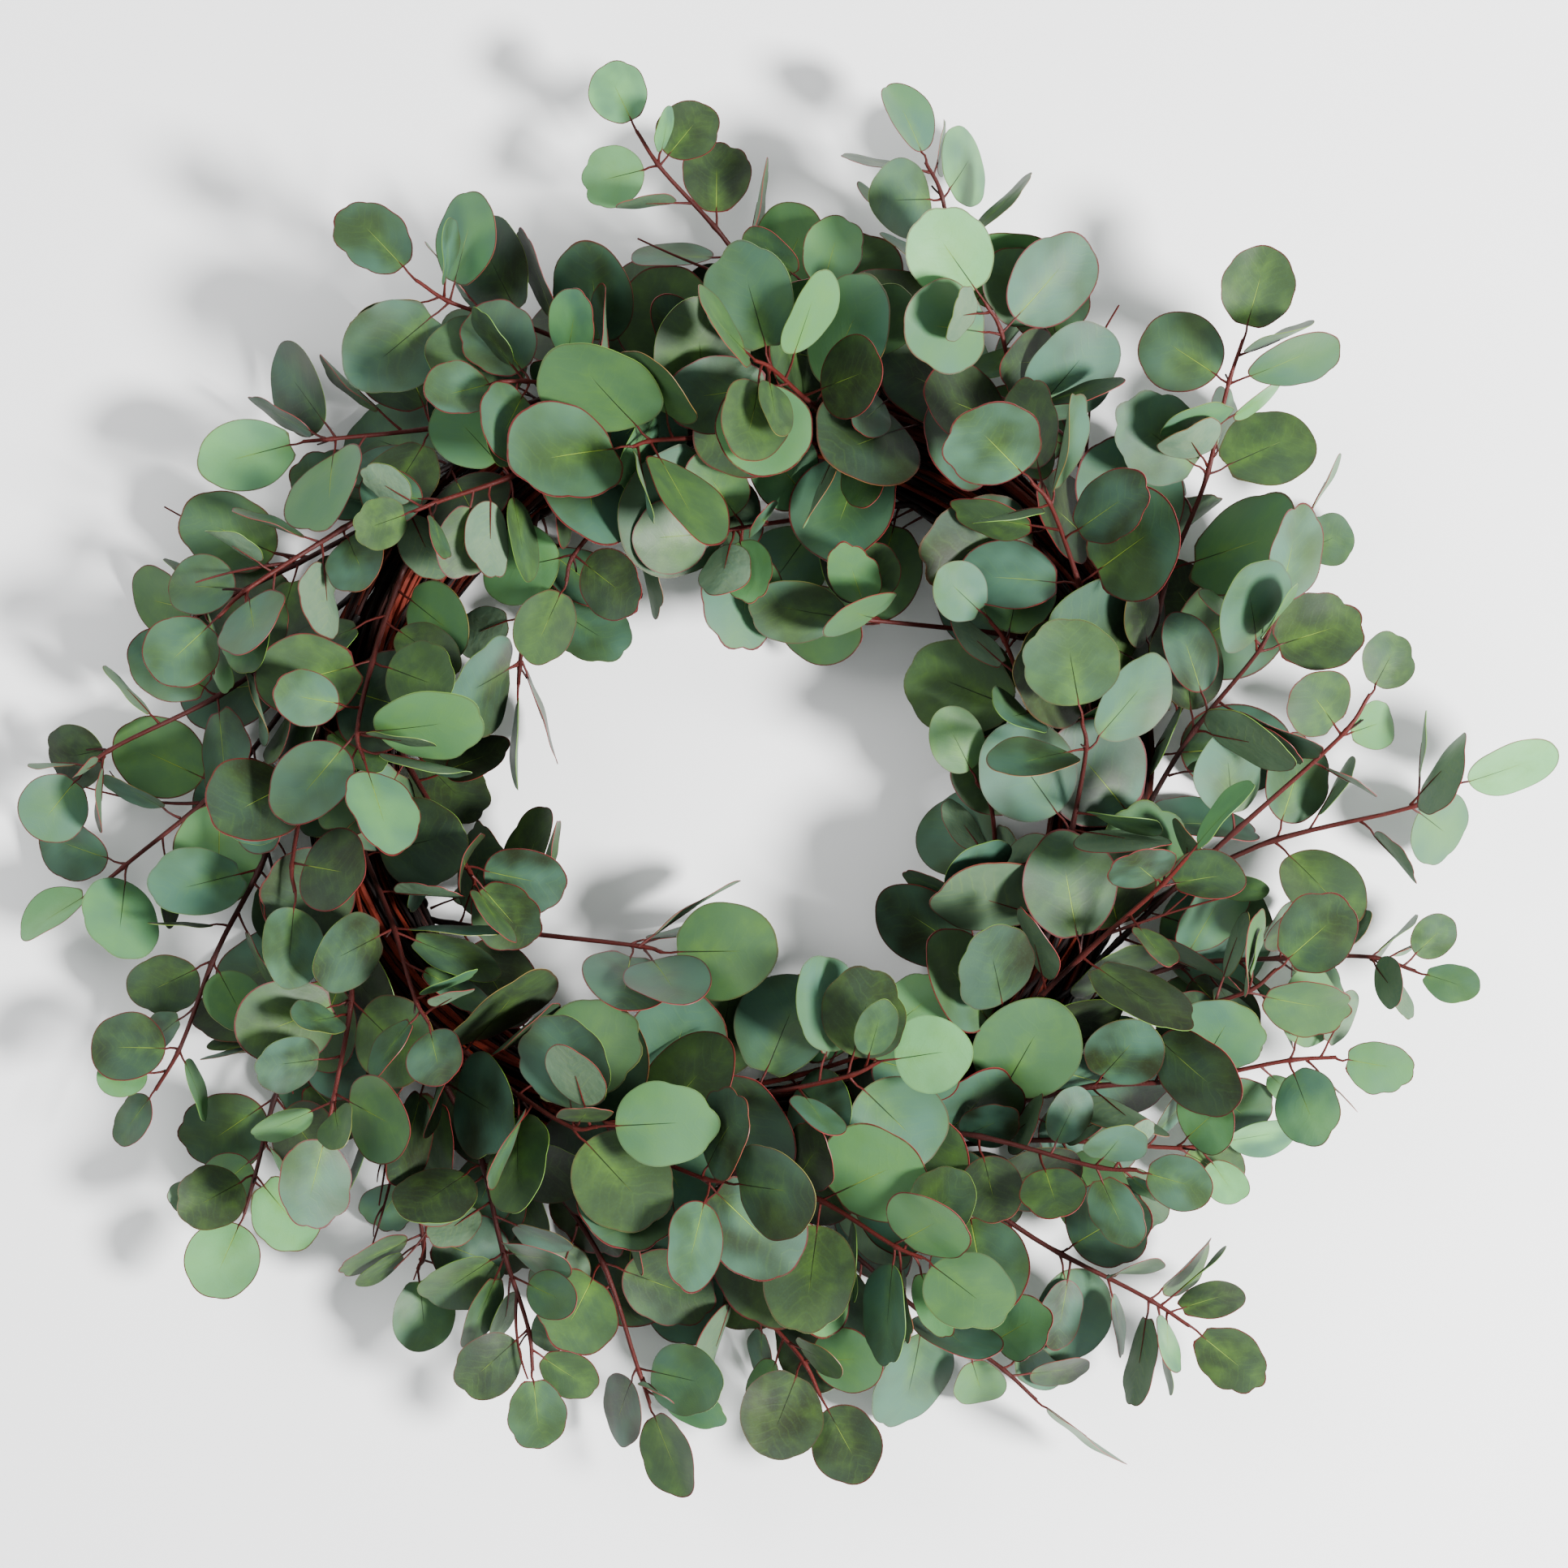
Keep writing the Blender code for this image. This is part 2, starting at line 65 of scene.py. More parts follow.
# The ring of twigs, as in the part: a bundle of thick strands that wind round a middle one
RING_RADIUS = 176.0
# Lobes round the ring, their phase in radians and their height
RING_LOBES = ((2, 0.8, 2.5), (5, 0.0, 1.5))
STRAND_RADIUS = 7.6
MIDDLE_RADIUS = 8.7
STRAND_GAP = 0.7
STRAND_SIDES = 5
STRAND_STEPS = 30
OUTER_STRANDS = 6
TWIST_TURNS = 1
STRAND_PITCH = 2 * STRAND_RADIUS + STRAND_GAP
BUNDLE_RADIUS = STRAND_PITCH + STRAND_RADIUS
REST_DEPTH = 0.4
FLAT_DEPTH = STRAND_RADIUS * math.cos(math.pi / STRAND_SIDES)
CONTACT_TURN = math.radians(TWIST_TURNS * 180 / STRAND_STEPS)
RING_HEIGHT = STRAND_PITCH * math.cos(CONTACT_TURN) + FLAT_DEPTH - REST_DEPTH

# Stems, as in the part
STEM_SIDES = 4
STEM_ROOT_RADIUS = 2.3
STEM_TIP_RADIUS = 1.35
ROOT_DEPTH = 5.0
LEAVE_ALONG = 0.315
LEAVE_OFF = 0.105
ARRIVE_SHARE = 0.3
STEM_BOW = 0.10
STEM_ZIGZAG = 1.6
HELD_SHARE = 0.7
STEM_ROOM = 0.4
STEM_CLEAR = 0.32
STEM_NEAR = 0.95
SETTLE_STEPS = 60
SETTLE_MARGIN = 0.02
STEM_TRIES = 60
TRIES_TO_SPREAD = 20
ROOT_CLOCK_DRIFT = 3.0
ROOT_SIDE_DRIFT = 25.0
TIP_CLOCK_DRIFT = 2.0
TIP_RADIUS_DRIFT = 6.0
TIP_HEIGHT_DRIFT = 12.0

# Leaves, as in the part
FIRST_PAIR = 0.10
LAST_PAIR = 0.86
NODE_SHARE = 0.12
LOST_LEAVES = 0.10
STALK_SINK = 1.0
PETIOLE_WIDTH = 1.2
PETIOLE_SHARE = 0.17
PETIOLE_LEAST = 5.0
PETIOLE_RANGE = (0.8, 1.3)
LEAF_THICKNESS = 0.8
LENGTH_RANGE = (0.9, 1.1)
WIDTH_RANGE = (0.76, 1.0)
FOLD_RANGE = (0.02, 0.22)
CURL_RANGE = (-0.04, 0.10)
TWIST_SPREAD = 0.07
BROADEST_SHIFT = 0.04
SIDE_SWELL = 1.03
SMALL_LEAF = 44.0
LARGE_LEAF = 57.5
PAIR_TURN = 32.0
TURN_SPREAD = 14.0
LEAN_RANGE = (48, 78)
TIP_LEAN_RANGE = (3, 16)
ROLL_SPREAD = 20.0
EDGE_ON_LEAVES = 0.15
EDGE_ON_ROLL = (45, 75)
FACING_SPREAD = 0.22
LEAF_TURN_OUT = 0.4
LEAF_TRIES = 80
TRIES_TO_LOOSEN = 50
SHRINK_AFTER = 30
SHRINK_STEP = 0.005
EDGE_ROOM = 0.7
FLOOR_ROOM = 2.0
HOLE = (-76.0, 74.0, -40.0, 50.0)

# Leaves that the solids leave out
FURTHER_TRIES = 24
FURTHER_SIZE = (0.7, 1.0)
FURTHER_WIDTH = (0.6, 1.0)
FURTHER_ROLL = 25.0  # degrees, the spread of their further turn about their own axis
FURTHER_EDGE_ON = (50, 85)
FULL_SIDE = (200.0, 350.0)  # the clock angles between which the wreath's edge is full
THIN_EDGE = 232.0  # elsewhere only edge-on ones reach further than this from the ring's centre
SLENDER = 0.38  # a leaf whose face looks upwards by less than this share is seen edge-on from the front
# Shares of its waves and of its size that a blade keeps, step by step, to be clear of the rest
CALM_STEPS = ((1.0, 1.0), (0.7, 1.0), (0.45, 1.0), (0.25, 0.98), (0.1, 0.96), (0.0, 0.93), (0.0, 0.88),
              (0.0, 0.82))

# The fine shape of a blade
LOBES = (5, 6, 7, 8, 9)  # how many bays go round a whole leaf
BAY_SHARES = (0.3, 0.5, 0.8, 1.0)  # how deep a leaf's bays are, as shares of the deepest
EAR_DEPTHS = (0.0, 0.0, 0.025, 0.05)  # how far the blade reaches back beside its stalk
FOLD_SOFTNESS = (1.5, 7.0)  # how wide the rounded bottom of the fold is
WAVES_ALONG = (2.5, 4.5)  # how closely the waves of its edge follow each other, in radians
RIM_THINNING = 0.55  # how much thinner a blade is at its rim than at its middle

# Bare shoots and bowed twigs
SHOOT_TRIES = 400
SHOOT_REACH = (205.0, 342.0)  # how near and how far from the ring's centre a shoot may end
SHOOT_RADIUS = 0.95
SHOOT_LONG = (35, 80)
SHOOT_FORKED = 0.5  # the share of shoots that fork
FORK_LONG = (0.25, 0.45)  # a fork's length, as a share of its shoot's
STUB_SHARE = 0.45  # the share of leaf pairs with the stub of a lost shoot
BOW_TRIES = 300
BOW_STEPS = 18
END_TRIES = 12
END_STEPS = 7
TAPER = 0.07  # how much thinner a shoot or loose end gets at each step
BUNDLE_TWIGS = (0.6, 1.4)  # how thick the bundle's twigs are, as shares of a middling one
THIN_TWIGS = (0.5, 0.9)  # the same for wandering twigs and loose ends
TWIG_OVERLAP = 7  # degrees by which the two twigs of a slot run side by side at each of their ends
TWIG_ARC = (130, 230)  # how far round the ring the first twig of each slot runs, in degrees
TWIG_REST = 1.2  # a twig's centre stays this many radii over the surface, for its knots

# Mesh counts of the fine pieces
LEAF_COLUMNS = 4
LEAF_ROWS = 26
ROWS_TO_TIP = 0.87  # below 1 sets the rows closer together towards the tip
STEM_ROUND = 8
STEM_RINGS = (0.0, 0.06, 0.12, 0.18, 0.34, 0.5, 0.66, 0.82)  # within each stretch between two pairs
STALK_ROUND = 6
TWIG_ROUND = 6
TWIG_STEPS = 72  # once round the ring

# Where the random draws start
STEM_SEED = 300
LEAF_SEED = 500
RING_SEED = 700
WANDERING_SEED = 760
LOOSE_SEED = 810
SHOOT_SEED = 905
FURTHER_SEED = 7000

# The room, in metres
FLOOR_SIZE = 8
FLOOR_MOTTLE = 0.985  # how bright the floor's faint spots are, as a share of the rest
ROOM_TINT = (0.96, 0.975, 1.0, 1)
ROOM_LIGHT = 0.77
KEY_PLACE, KEY_SIZE = (1.7, -0.5, 1.9), 0.6
FILL_PLACE, FILL_SIZE = (-1.5, 0.9, 1.7), 1.4
LIT_PLACE = (0, 0, 0.05)
CAMERA_PLACE = (0.0005, -0.002)
LEAF_HEIGHT = 0.07  # how high the leaves are that the seen width is measured at
SENSOR_WIDTH = 36


class Spray(NamedTuple):
    """A leafy stem: where it is tucked in, where its stem ends, and its leaves."""

    root: float  # clock angle where it leaves the ring
    side: float  # angle round the bundle where it leaves
    clock: float  # clock angle of the stem's tip
    radius: float  # the tip's distance from the ring's centre
    height: float  # the tip's height over the surface
    pairs: int  # pairs of opposite leaves below the tip leaf
    base_leaf: float  # length of the lowest leaves
    tip_leaf: float  # length of the tip leaf


SPRAYS = (
    # Outer edge, round from the top
    Spray(70, 20, 98, 302, 60, 4, 58, 28),
    Spray(90, 60, 122, 268, 85, 4, 60, 42),
    Spray(112, 10, 142, 252, 50, 3, 54, 46),
    Spray(126, 30, 163, 246, 75, 3, 49, 36),
    Spray(136, 350, 166, 266, 35, 3, 52, 36),
    Spray(154, 0, 180, 303, 45, 3, 58, 30),
    Spray(162, 350, 191, 304, 30, 3, 54, 38),
    Spray(174, 20, 209, 306, 50, 4, 50, 30),
    Spray(192, 60, 222, 246, 80, 3, 56, 42),
    Spray(198, 0, 222, 308, 40, 4, 54, 36),
    Spray(212, 350, 238, 276, 35, 2, 58, 34),
    Spray(222, 50, 252, 293, 58, 4, 55, 30),
    Spray(238, 20, 263, 298, 45, 3, 54, 38),
    Spray(252, 0, 277, 296, 45, 4, 56, 38),
    Spray(268, 10, 296, 328, 52, 4, 62, 42),
    Spray(283, 40, 310, 336, 55, 4, 60, 36),
    Spray(294, 350, 322, 291, 40, 3, 56, 34),
    Spray(302, 20, 335, 313, 62, 4, 60, 32),
    Spray(322, 350, 344, 336, 46, 4, 52, 28),
    Spray(330, 30, 7, 300, 75, 3, 60, 27),
    Spray(336, 0, 359, 340, 55, 3, 56, 40),
    Spray(346, 50, 15, 262, 90, 3, 58, 42),
    Spray(356, 350, 24, 294, 45, 3, 58, 28),
    Spray(8, 30, 40, 312, 75, 4, 65, 40),
    Spray(26, 0, 54, 254, 60, 3, 52, 40),
    Spray(46, 10, 72, 300, 55, 3, 56, 38),
    # Face of the ring, round from the top
    Spray(56, 70, 81, 230, 78, 3, 60, 30),
    Spray(62, 100, 86, 188, 112, 3, 56, 50),
    Spray(78, 120, 106, 155, 100, 3, 56, 57),
    Spray(88, 80, 120, 206, 105, 3, 56, 38),
    Spray(108, 95, 140, 186, 100, 3, 60, 30),
    Spray(146, 90, 178, 166, 92, 3, 56, 46),
    Spray(163, 60, 196, 205, 80, 3, 56, 38),
    Spray(188, 100, 220, 178, 95, 3, 56, 30),
    Spray(222, 90, 250, 172, 102, 3, 58, 46),
    Spray(240, 80, 270, 186, 105, 3, 58, 48),
    Spray(252, 125, 298, 150, 92, 3, 58, 40),
    Spray(266, 60, 292, 240, 92, 3, 66, 46),
    Spray(282, 90, 316, 262, 95, 3, 56, 30),
    Spray(310, 80, 349, 214, 108, 3, 67, 36),
    Spray(330, 110, 8, 165, 98, 3, 58, 46),
    Spray(10, 80, 44, 192, 112, 3, 58, 46),
    Spray(32, 70, 61, 246, 92, 3, 63, 44),
    # Inner edge, round from the top
    Spray(52, 170, 92, 112, 62, 3, 52, 42),
    Spray(92, 160, 130, 118, 66, 3, 54, 38),
    Spray(124, 180, 157, 106, 52, 2, 52, 44),
    Spray(172, 170, 204, 128, 66, 2, 52, 38),
    Spray(202, 180, 249, 89, 56, 2, 50, 54),
    Spray(262, 160, 300, 138, 60, 3, 54, 44),
    Spray(318, 170, 358, 116, 66, 3, 56, 30),
    Spray(352, 150, 30, 140, 88, 3, 54, 40),
    Spray(20, 185, 51, 93, 56, 2, 54, 44),
    # Over the ring's face at the lower right, between two of the outer sprays
    Spray(312, 40, 341, 268, 78, 3, 62, 42),
)


class Filling(NamedTuple):
    """A set of further leaves: where they grow between two pairs, and how they vary."""

    least_place: float  # the lowest place that they grow at, as a share of the stretch between two pairs
    most_place: float  # the highest
    lost_low: float  # the share of them left out near the root
    lost_high: float  # the share of them left out near the tip
    edge_on: float  # the share of them turned edge-on


# Two sets, one after the other, each where the leaves before it leave room
FILLINGS = (Filling(0.42, 0.8, 0.05, 0.45, 0.75), Filling(0.18, 0.38, 0.3, 0.55, 0.9))


class Leaf(NamedTuple):
    """A leaf: its stalk's foot in the stem, its own axes, and its sizes."""

    foot: Vector
    axis: Vector  # along the stalk and the midrib
    normal: Vector  # out of the upper face
    length: float
    width: float
    petiole: float
    fold: float  # how far the two halves rise from the midrib
    curl: float  # how far the tip bends down
    twist: float  # how far one edge rises over the other

    def place(self, across, along, over=0.0):
        """A point of the leaf: across the midrib, along it from the foot, and over its surface."""
        blade = max(along - self.petiole, 0.0)
        bent = self.fold * abs(across) - self.curl * blade * blade / self.length
        turned = self.twist * across * blade / self.length
        side = self.axis.cross(self.normal)
        return self.foot + side * across + self.axis * along + self.normal * (bent + turned + over)


class Shape(NamedTuple):
    """A closed mesh as points and faces, with what a clash test needs."""

    points: list
    faces: list
    tree: BVHTree
    low: Vector
    high: Vector


def shape_of(points, faces):
    low = Vector([min(p[i] for p in points) for i in range(3)])
    high = Vector([max(p[i] for p in points) for i in range(3)])
    return Shape(points, faces, BVHTree.FromPolygons(points, faces), low, high)


def clash(a, b):
    """Whether two shapes cross."""
    for i in range(3):
        if a.low[i] > b.high[i] or b.low[i] > a.high[i]:
            return False
    return bool(a.tree.overlap(b.tree))


def polar(clock, radius, height):
    angle = math.radians(clock)
    return Vector((radius * math.cos(angle), radius * math.sin(angle), height))


def ring_point(clock, side, reach):
    """A point off the bundle's centre line, at a clock angle, towards one side of the bundle."""
    angle = math.radians(clock)
    wander = sum(height * math.sin(lobes * angle + phase) for lobes, phase, height in RING_LOBES)
    turn = math.radians(side)
    radius = RING_RADIUS + wander + reach * math.cos(turn)
    return polar(clock, radius, RING_HEIGHT + reach * math.sin(turn))


def tube_faces(rings, sides, closed):
    """Faces of a tube whose rings of points follow each other, turned inwards."""
    faces = []
    for step in range(rings if closed else rings - 1):
        here = step * sides
        there = (step + 1) % rings * sides
        for i in range(sides):
            j = (i + 1) % sides
            faces.append((here + i, here + j, there + j))
            faces.append((here + i, there + j, there + i))
    if not closed:
        faces.append(tuple(reversed(range(sides))))
        faces.append(tuple((rings - 1) * sides + i for i in range(sides)))
    return faces


def strand_centre(number, clock):
    """Where the middle of one of the ring's strands passes a clock angle."""
    reach = STRAND_PITCH if number else 0.0
    return ring_point(clock, 360 * number / OUTER_STRANDS + TWIST_TURNS * clock, reach)


def strand_shape(number):
    """One closed hoop of the ring, flat underneath where it rests. Number 0 is the middle one."""
    radius = STRAND_RADIUS if number else MIDDLE_RADIUS
    points = []
    for step in range(STRAND_STEPS):
        clock = 360 * step / STRAND_STEPS
        outward = polar(clock, 1, 0)
        for corner in range(STRAND_SIDES):
            turn = 2 * math.pi * (corner + 0.5) / STRAND_SIDES - math.pi / 2
            across = outward * math.cos(turn) + Vector((0, 0, math.sin(turn)))
            point = strand_centre(number, clock) + radius * across
            point.z = max(point.z, 0.0)
            points.append(point)
    faces = tube_faces(STRAND_STEPS, STRAND_SIDES, True)
    return shape_of(points, [face[::-1] for face in faces])


def settle(ring, point, room):
    """The point, pushed out of the ring until nothing of the ring is nearer than room."""
    for _ in range(SETTLE_STEPS):
        near, normal, _, gap = ring.find_nearest(point)
        outward = point - near
        outside = outward.dot(normal) > 0
        if outside and gap >= room:
            break
        direction = outward.normalized() if outside and gap > SETTLE_MARGIN / 2 else normal
        point = near + direction * (room + SETTLE_MARGIN)
    return point


def bezier(a, b, c, d, t):
    s = 1 - t
    return a * s**3 + b * 3 * s * s * t + c * 3 * s * t * t + d * t**3


def stem_radius(t):
    return STEM_ROOT_RADIUS + (STEM_TIP_RADIUS - STEM_ROOT_RADIUS) * t


def facing_at(place):
    """The way leaves face at a place: up, and away from the bundle's centre line."""
    middle = ring_point(math.degrees(math.atan2(place.y, place.x)), 0, 0)
    return (Vector((0, 0, 1)) + (place - middle).normalized() * LEAF_TURN_OUT).normalized()


def stem_frame(place, along):
    """The stem's own directions at a place: beside it and above it."""
    beside = along.cross(facing_at(place)).normalized()
    return beside, beside.cross(along)


def stem_shares(pairs):
    """How far along the stem its points lie: the root, one for each pair, and the tip."""
    step = (LAST_PAIR - FIRST_PAIR) / (pairs - 1)
    return [0.0] + [FIRST_PAIR + step * pair for pair in range(pairs)] + [1.0]


def stem_ends(spray, draw, spread):
    """The root, just under the bundle's skin, and the tip, both moved by chance within the spread."""
    root_clock = spray.root + draw.uniform(-ROOT_CLOCK_DRIFT, ROOT_CLOCK_DRIFT) * spread
    root_side = spray.side + draw.uniform(-ROOT_SIDE_DRIFT, ROOT_SIDE_DRIFT) * spread
    tip_clock = spray.clock + draw.uniform(-TIP_CLOCK_DRIFT, TIP_CLOCK_DRIFT) * spread
    tip_radius = spray.radius + draw.uniform(-TIP_RADIUS_DRIFT, TIP_RADIUS_DRIFT) * spread
    tip_height = spray.height + draw.uniform(-TIP_HEIGHT_DRIFT, TIP_HEIGHT_DRIFT) * spread
    root = ring_point(root_clock, root_side, BUNDLE_RADIUS - ROOT_DEPTH)
    return root, polar(tip_clock, tip_radius, tip_height)


def stem_route(spray, ring, draw, spread):
    """Points from the root to the tip: along the ring, on its skin, and then bending to the tip."""
    root, tip = stem_ends(spray, draw, spread)
    along = Vector((-root.y, root.x, 0)).normalized()
    off = (ring_point(spray.root, spray.side, 1) - ring_point(spray.root, spray.side, 0)).normalized()
    span = (tip - root).length
    leave = root + (along * LEAVE_ALONG + off * LEAVE_OFF) * span
    beside, above = stem_frame(tip, (tip - leave).normalized())
    arrive = tip - (tip - leave).normalized() * span * ARRIVE_SHARE
    arrive += (beside * draw.uniform(-STEM_BOW, STEM_BOW) + above * draw.uniform(0, STEM_BOW)) * span
    route = []
    for step, t in enumerate(stem_shares(spray.pairs)):
        point = bezier(root, leave, arrive, tip, t)
        if 0 < t < 1:
            point += beside * STEM_ZIGZAG * (1 if step % 2 else -1)
        if t < HELD_SHARE:
            point = settle(ring, point, stem_radius(t) + STEM_ROOM)
        route.append(point)
    return route


def stem_shape(route, grow=0.0):
    """A tapering tube along a route, its flat sides beside and above it."""
    last = len(route) - 1
    shares = stem_shares(last - 1)
    points = []
    for i, centre in enumerate(route):
        along = (route[min(i + 1, last)] - route[max(i - 1, 0)]).normalized()
        beside, above = stem_frame(centre, along)
        radius = stem_radius(shares[i]) + grow
        for corner in range(STEM_SIDES):
            turn = 2 * math.pi * (corner + 0.5) / STEM_SIDES
            points.append(centre + (beside * math.cos(turn) + above * math.sin(turn)) * radius)
    return shape_of(points, [face[::-1] for face in tube_faces(len(route), STEM_SIDES, False)])


def leaf_side(leaf, hand, steps, grow, stalk):
    """One side of a leaf's outline, from the stalk's foot or the blade's joint to just below its tip."""
    half = (leaf.width / 2 + grow) * SIDE_SWELL
    reach = leaf.length / 2 + grow
    middle = leaf.petiole + leaf.length / 2
    narrow = PETIOLE_WIDTH / 2 + grow
    side = [(hand * narrow, 0.0)] if stalk else []
    side.append((hand * narrow, leaf.petiole))
    for step in range(1, steps):
        share = step / steps
        turn = math.pi * (share - BROADEST_SHIFT * math.sin(math.pi * share) ** 2)
        side.append((hand * half * math.sin(turn), middle - reach * math.cos(turn)))
    return side


def leaf_shape(leaf, grow=0.0, stalk=True):
    """A leaf blade with its stalk, as a thin closed plate folded along the midrib."""
    left = leaf_side(leaf, -1, 3 if leaf.length < SMALL_LEAF else 4, grow, stalk)
    right = leaf_side(leaf, 1, 3 if leaf.length < LARGE_LEAF else 4, grow, stalk)
    outline = left + [(0.0, leaf.petiole + leaf.length + grow)] + right[::-1]
    count = len(outline)
    joint = 1 if stalk else 0
    tip = len(left)
    other = count - 1 - joint
    top = [(joint, i + 1, i) for i in range(joint + 1, tip)]
    top += [(other, i + 1, i) for i in range(tip, other - 1)]
    top.append((joint, other, tip))
    if stalk:
        top.append((0, count - 1, other, joint))
    thick = LEAF_THICKNESS / 2 + grow
    points = [leaf.place(x, y, over) for over in (thick, -thick) for x, y in outline]
    faces = top + [tuple(i + count for i in reversed(face)) for face in top]
    faces += [(i, (i + 1) % count, (i + 1) % count + count, i + count) for i in range(count)]
    return shape_of(points, faces)


def leaf_at(spray, route, tier, hand, draw, attempt, share=NODE_SHARE):
    """One try at a leaf: hand is -1 or 1 for the two of a pair, and 0 for the tip leaf."""
    last = len(route) - 1
    segment = min(tier + 1, last - 1)
    share = share if hand else 1.0
    place = route[segment].lerp(route[segment + 1], share)
    along = (route[segment + 1] - route[segment]).normalized()
    beside, above = stem_frame(place, along)
    shares = stem_shares(spray.pairs)
    along_share = shares[segment] + (shares[segment + 1] - shares[segment]) * share

    # Which way the stalk leaves the stem
    loose = 1 + attempt / TRIES_TO_LOOSEN
    turn = math.radians(PAIR_TURN * (1 if tier % 2 else -1) + draw.gauss(0, TURN_SPREAD) * loose)
    lean = math.radians(draw.uniform(*LEAN_RANGE))
    away = (beside * math.cos(turn) + above * math.sin(turn)) * hand
    if not hand:
        turn = draw.uniform(-math.pi, math.pi)
        lean = math.radians(draw.uniform(*TIP_LEAN_RANGE))
        away = beside * math.cos(turn) + above * math.sin(turn)
    axis = (along * math.cos(lean) + away * math.sin(lean)).normalized()

    # Which way the blade faces
    wish = facing_at(place) + Vector([draw.gauss(0, FACING_SPREAD) for _ in range(3)])
    normal = (wish - axis * wish.dot(axis)).normalized()
    roll = draw.gauss(0, ROLL_SPREAD)
    if draw.random() < EDGE_ON_LEAVES:
        roll += draw.choice((-1, 1)) * draw.uniform(*EDGE_ON_ROLL)
    normal = Matrix.Rotation(math.radians(roll), 3, axis) @ normal

    # Its size
    half = stem_radius(along_share) * math.cos(math.pi / STEM_SIDES)
    foot = place + beside * hand * half - axis * STALK_SINK
    length = spray.base_leaf + (spray.tip_leaf - spray.base_leaf) * along_share
    length *= draw.uniform(*LENGTH_RANGE) * (1 - max(0, attempt - SHRINK_AFTER) * SHRINK_STEP)
    width = length * draw.uniform(*WIDTH_RANGE)
    petiole = STALK_SINK + max(PETIOLE_LEAST, length * PETIOLE_SHARE * draw.uniform(*PETIOLE_RANGE))
    return Leaf(foot, axis, normal, length, width, petiole,
                draw.uniform(*FOLD_RANGE), draw.uniform(*CURL_RANGE), draw.gauss(0, TWIST_SPREAD))


def in_hole(shape):
    left, right, bottom, top = HOLE
    return any(left < p.x < right and bottom < p.y < top for p in shape.points)


class Layout:
    """Where every strand, stem and leaf lies, with nothing crossing anything else."""

    def __init__(self):
        self.strands = [strand_shape(number) for number in range(OUTER_STRANDS + 1)]
        points = [p for strand in self.strands for p in strand.points]
        faces = [tuple(n * STRAND_STEPS * STRAND_SIDES + i for i in face)
                 for n, strand in enumerate(self.strands) for face in strand.faces]
        self.ring = shape_of(points, faces)
        self.twigs = []  # the wandering twigs, once they are there
        self.routes = []
        self.stems = []
        for number, spray in enumerate(SPRAYS):
            self.grow_stem(number, spray)
        self.leaves = [[] for _ in SPRAYS]
        self.shapes = [[] for _ in SPRAYS]
        most = max(spray.pairs for spray in SPRAYS)
        for tier in range(most + 1):
            for number, spray in enumerate(SPRAYS):
                self.grow_leaves(number, spray, tier)
        self.centre = self.middle()

    def grow_stem(self, number, spray):
        """The first stem that lies against the ring and is clear of it and of the stems before it."""
        draw = random.Random(number + 1)
        for attempt in range(STEM_TRIES):
            route = stem_route(spray, self.ring.tree, draw, attempt / TRIES_TO_SPREAD)
            held = clash(stem_shape(route, STEM_NEAR), self.ring)
            shape = stem_shape(route, STEM_CLEAR)
            if held and not any(clash(shape, other) for other in [self.ring, *self.stems]):
                break
        else:
            raise RuntimeError(f"spray {number + 1} finds no way clear")
        self.routes.append(route)
        self.stems.append(stem_shape(route))

    def grow_leaves(self, number, spray, tier):
        """The pair of one tier, counted from the root, or the tip leaf after the last pair."""
        if tier > spray.pairs:
            return
        for hand in (0,) if tier == spray.pairs else (-1, 1):
            draw = random.Random(1000 * (number + 1) + 10 * tier + hand)
            if hand and draw.random() < LOST_LEAVES:
                continue
            for attempt in range(LEAF_TRIES):
                leaf = leaf_at(spray, self.routes[number], tier, hand, draw, attempt)
                if self.is_clear(number, leaf):
                    self.leaves[number].append(leaf)
                    self.shapes[number].append((leaf_shape(leaf), leaf_shape(leaf, stalk=False)))
                    break

    def is_clear(self, number, leaf):
        """Whether a leaf is clear of the surface, the hole, the ring and all that has grown so far."""
        whole = leaf_shape(leaf, EDGE_ROOM)
        if whole.low.z < FLOOR_ROOM or in_hole(whole) or clash(whole, self.ring):
            return False
        blade = leaf_shape(leaf, EDGE_ROOM, False)
        if clash(blade, self.stems[number]):
            return False
        if any(clash(whole, other) for i, other in enumerate(self.stems) if i != number):
            return False
        for i, shapes in enumerate(self.shapes):
            for full, bare in shapes:
                if i != number and clash(whole, full):
                    return False
                if i == number and (clash(blade, full) or clash(whole, bare)):
                    return False
        return True

    def middle(self):
        """The middle of the whole wreath's box, on the surface."""
        shapes = self.strands + self.stems + [full for shapes in self.shapes for full, _ in shapes]
        low = [min(shape.low[i] for shape in shapes) for i in range(2)]
        high = [max(shape.high[i] for shape in shapes) for i in range(2)]
        return Vector(((low[0] + high[0]) / 2, (low[1] + high[1]) / 2, 0))


@functools.cache
def layout():
    return Layout()


class Sprig(NamedTuple):
    """A fine leaf: its shape, and how far up its stem it grows, from 0 at the root to 1 at the tip."""

    leaf: Leaf
    share: float


@functools.cache
def sprigs():
    """All leaves of every spray: the solids' own, and more between them wherever there is room."""
    grown = []
    for route, leaves in zip(layout().routes, layout().leaves):
        grown.append([Sprig(leaf, share_along(route, leaf)) for leaf in leaves])
    for turn, filling in enumerate(FILLINGS):
        for number, spray in enumerate(SPRAYS):
            for tier in range(-1, spray.pairs):
                for hand in (-1, 1):
                    draw = random.Random(FURTHER_SEED * (turn + 1) + 100 * number + 10 * tier + hand)
                    leaf = further_leaf(number, spray, tier, hand, filling, draw)
                    if leaf:
                        grown[number].append(Sprig(leaf, share_along(layout().routes[number], leaf)))
    return grown


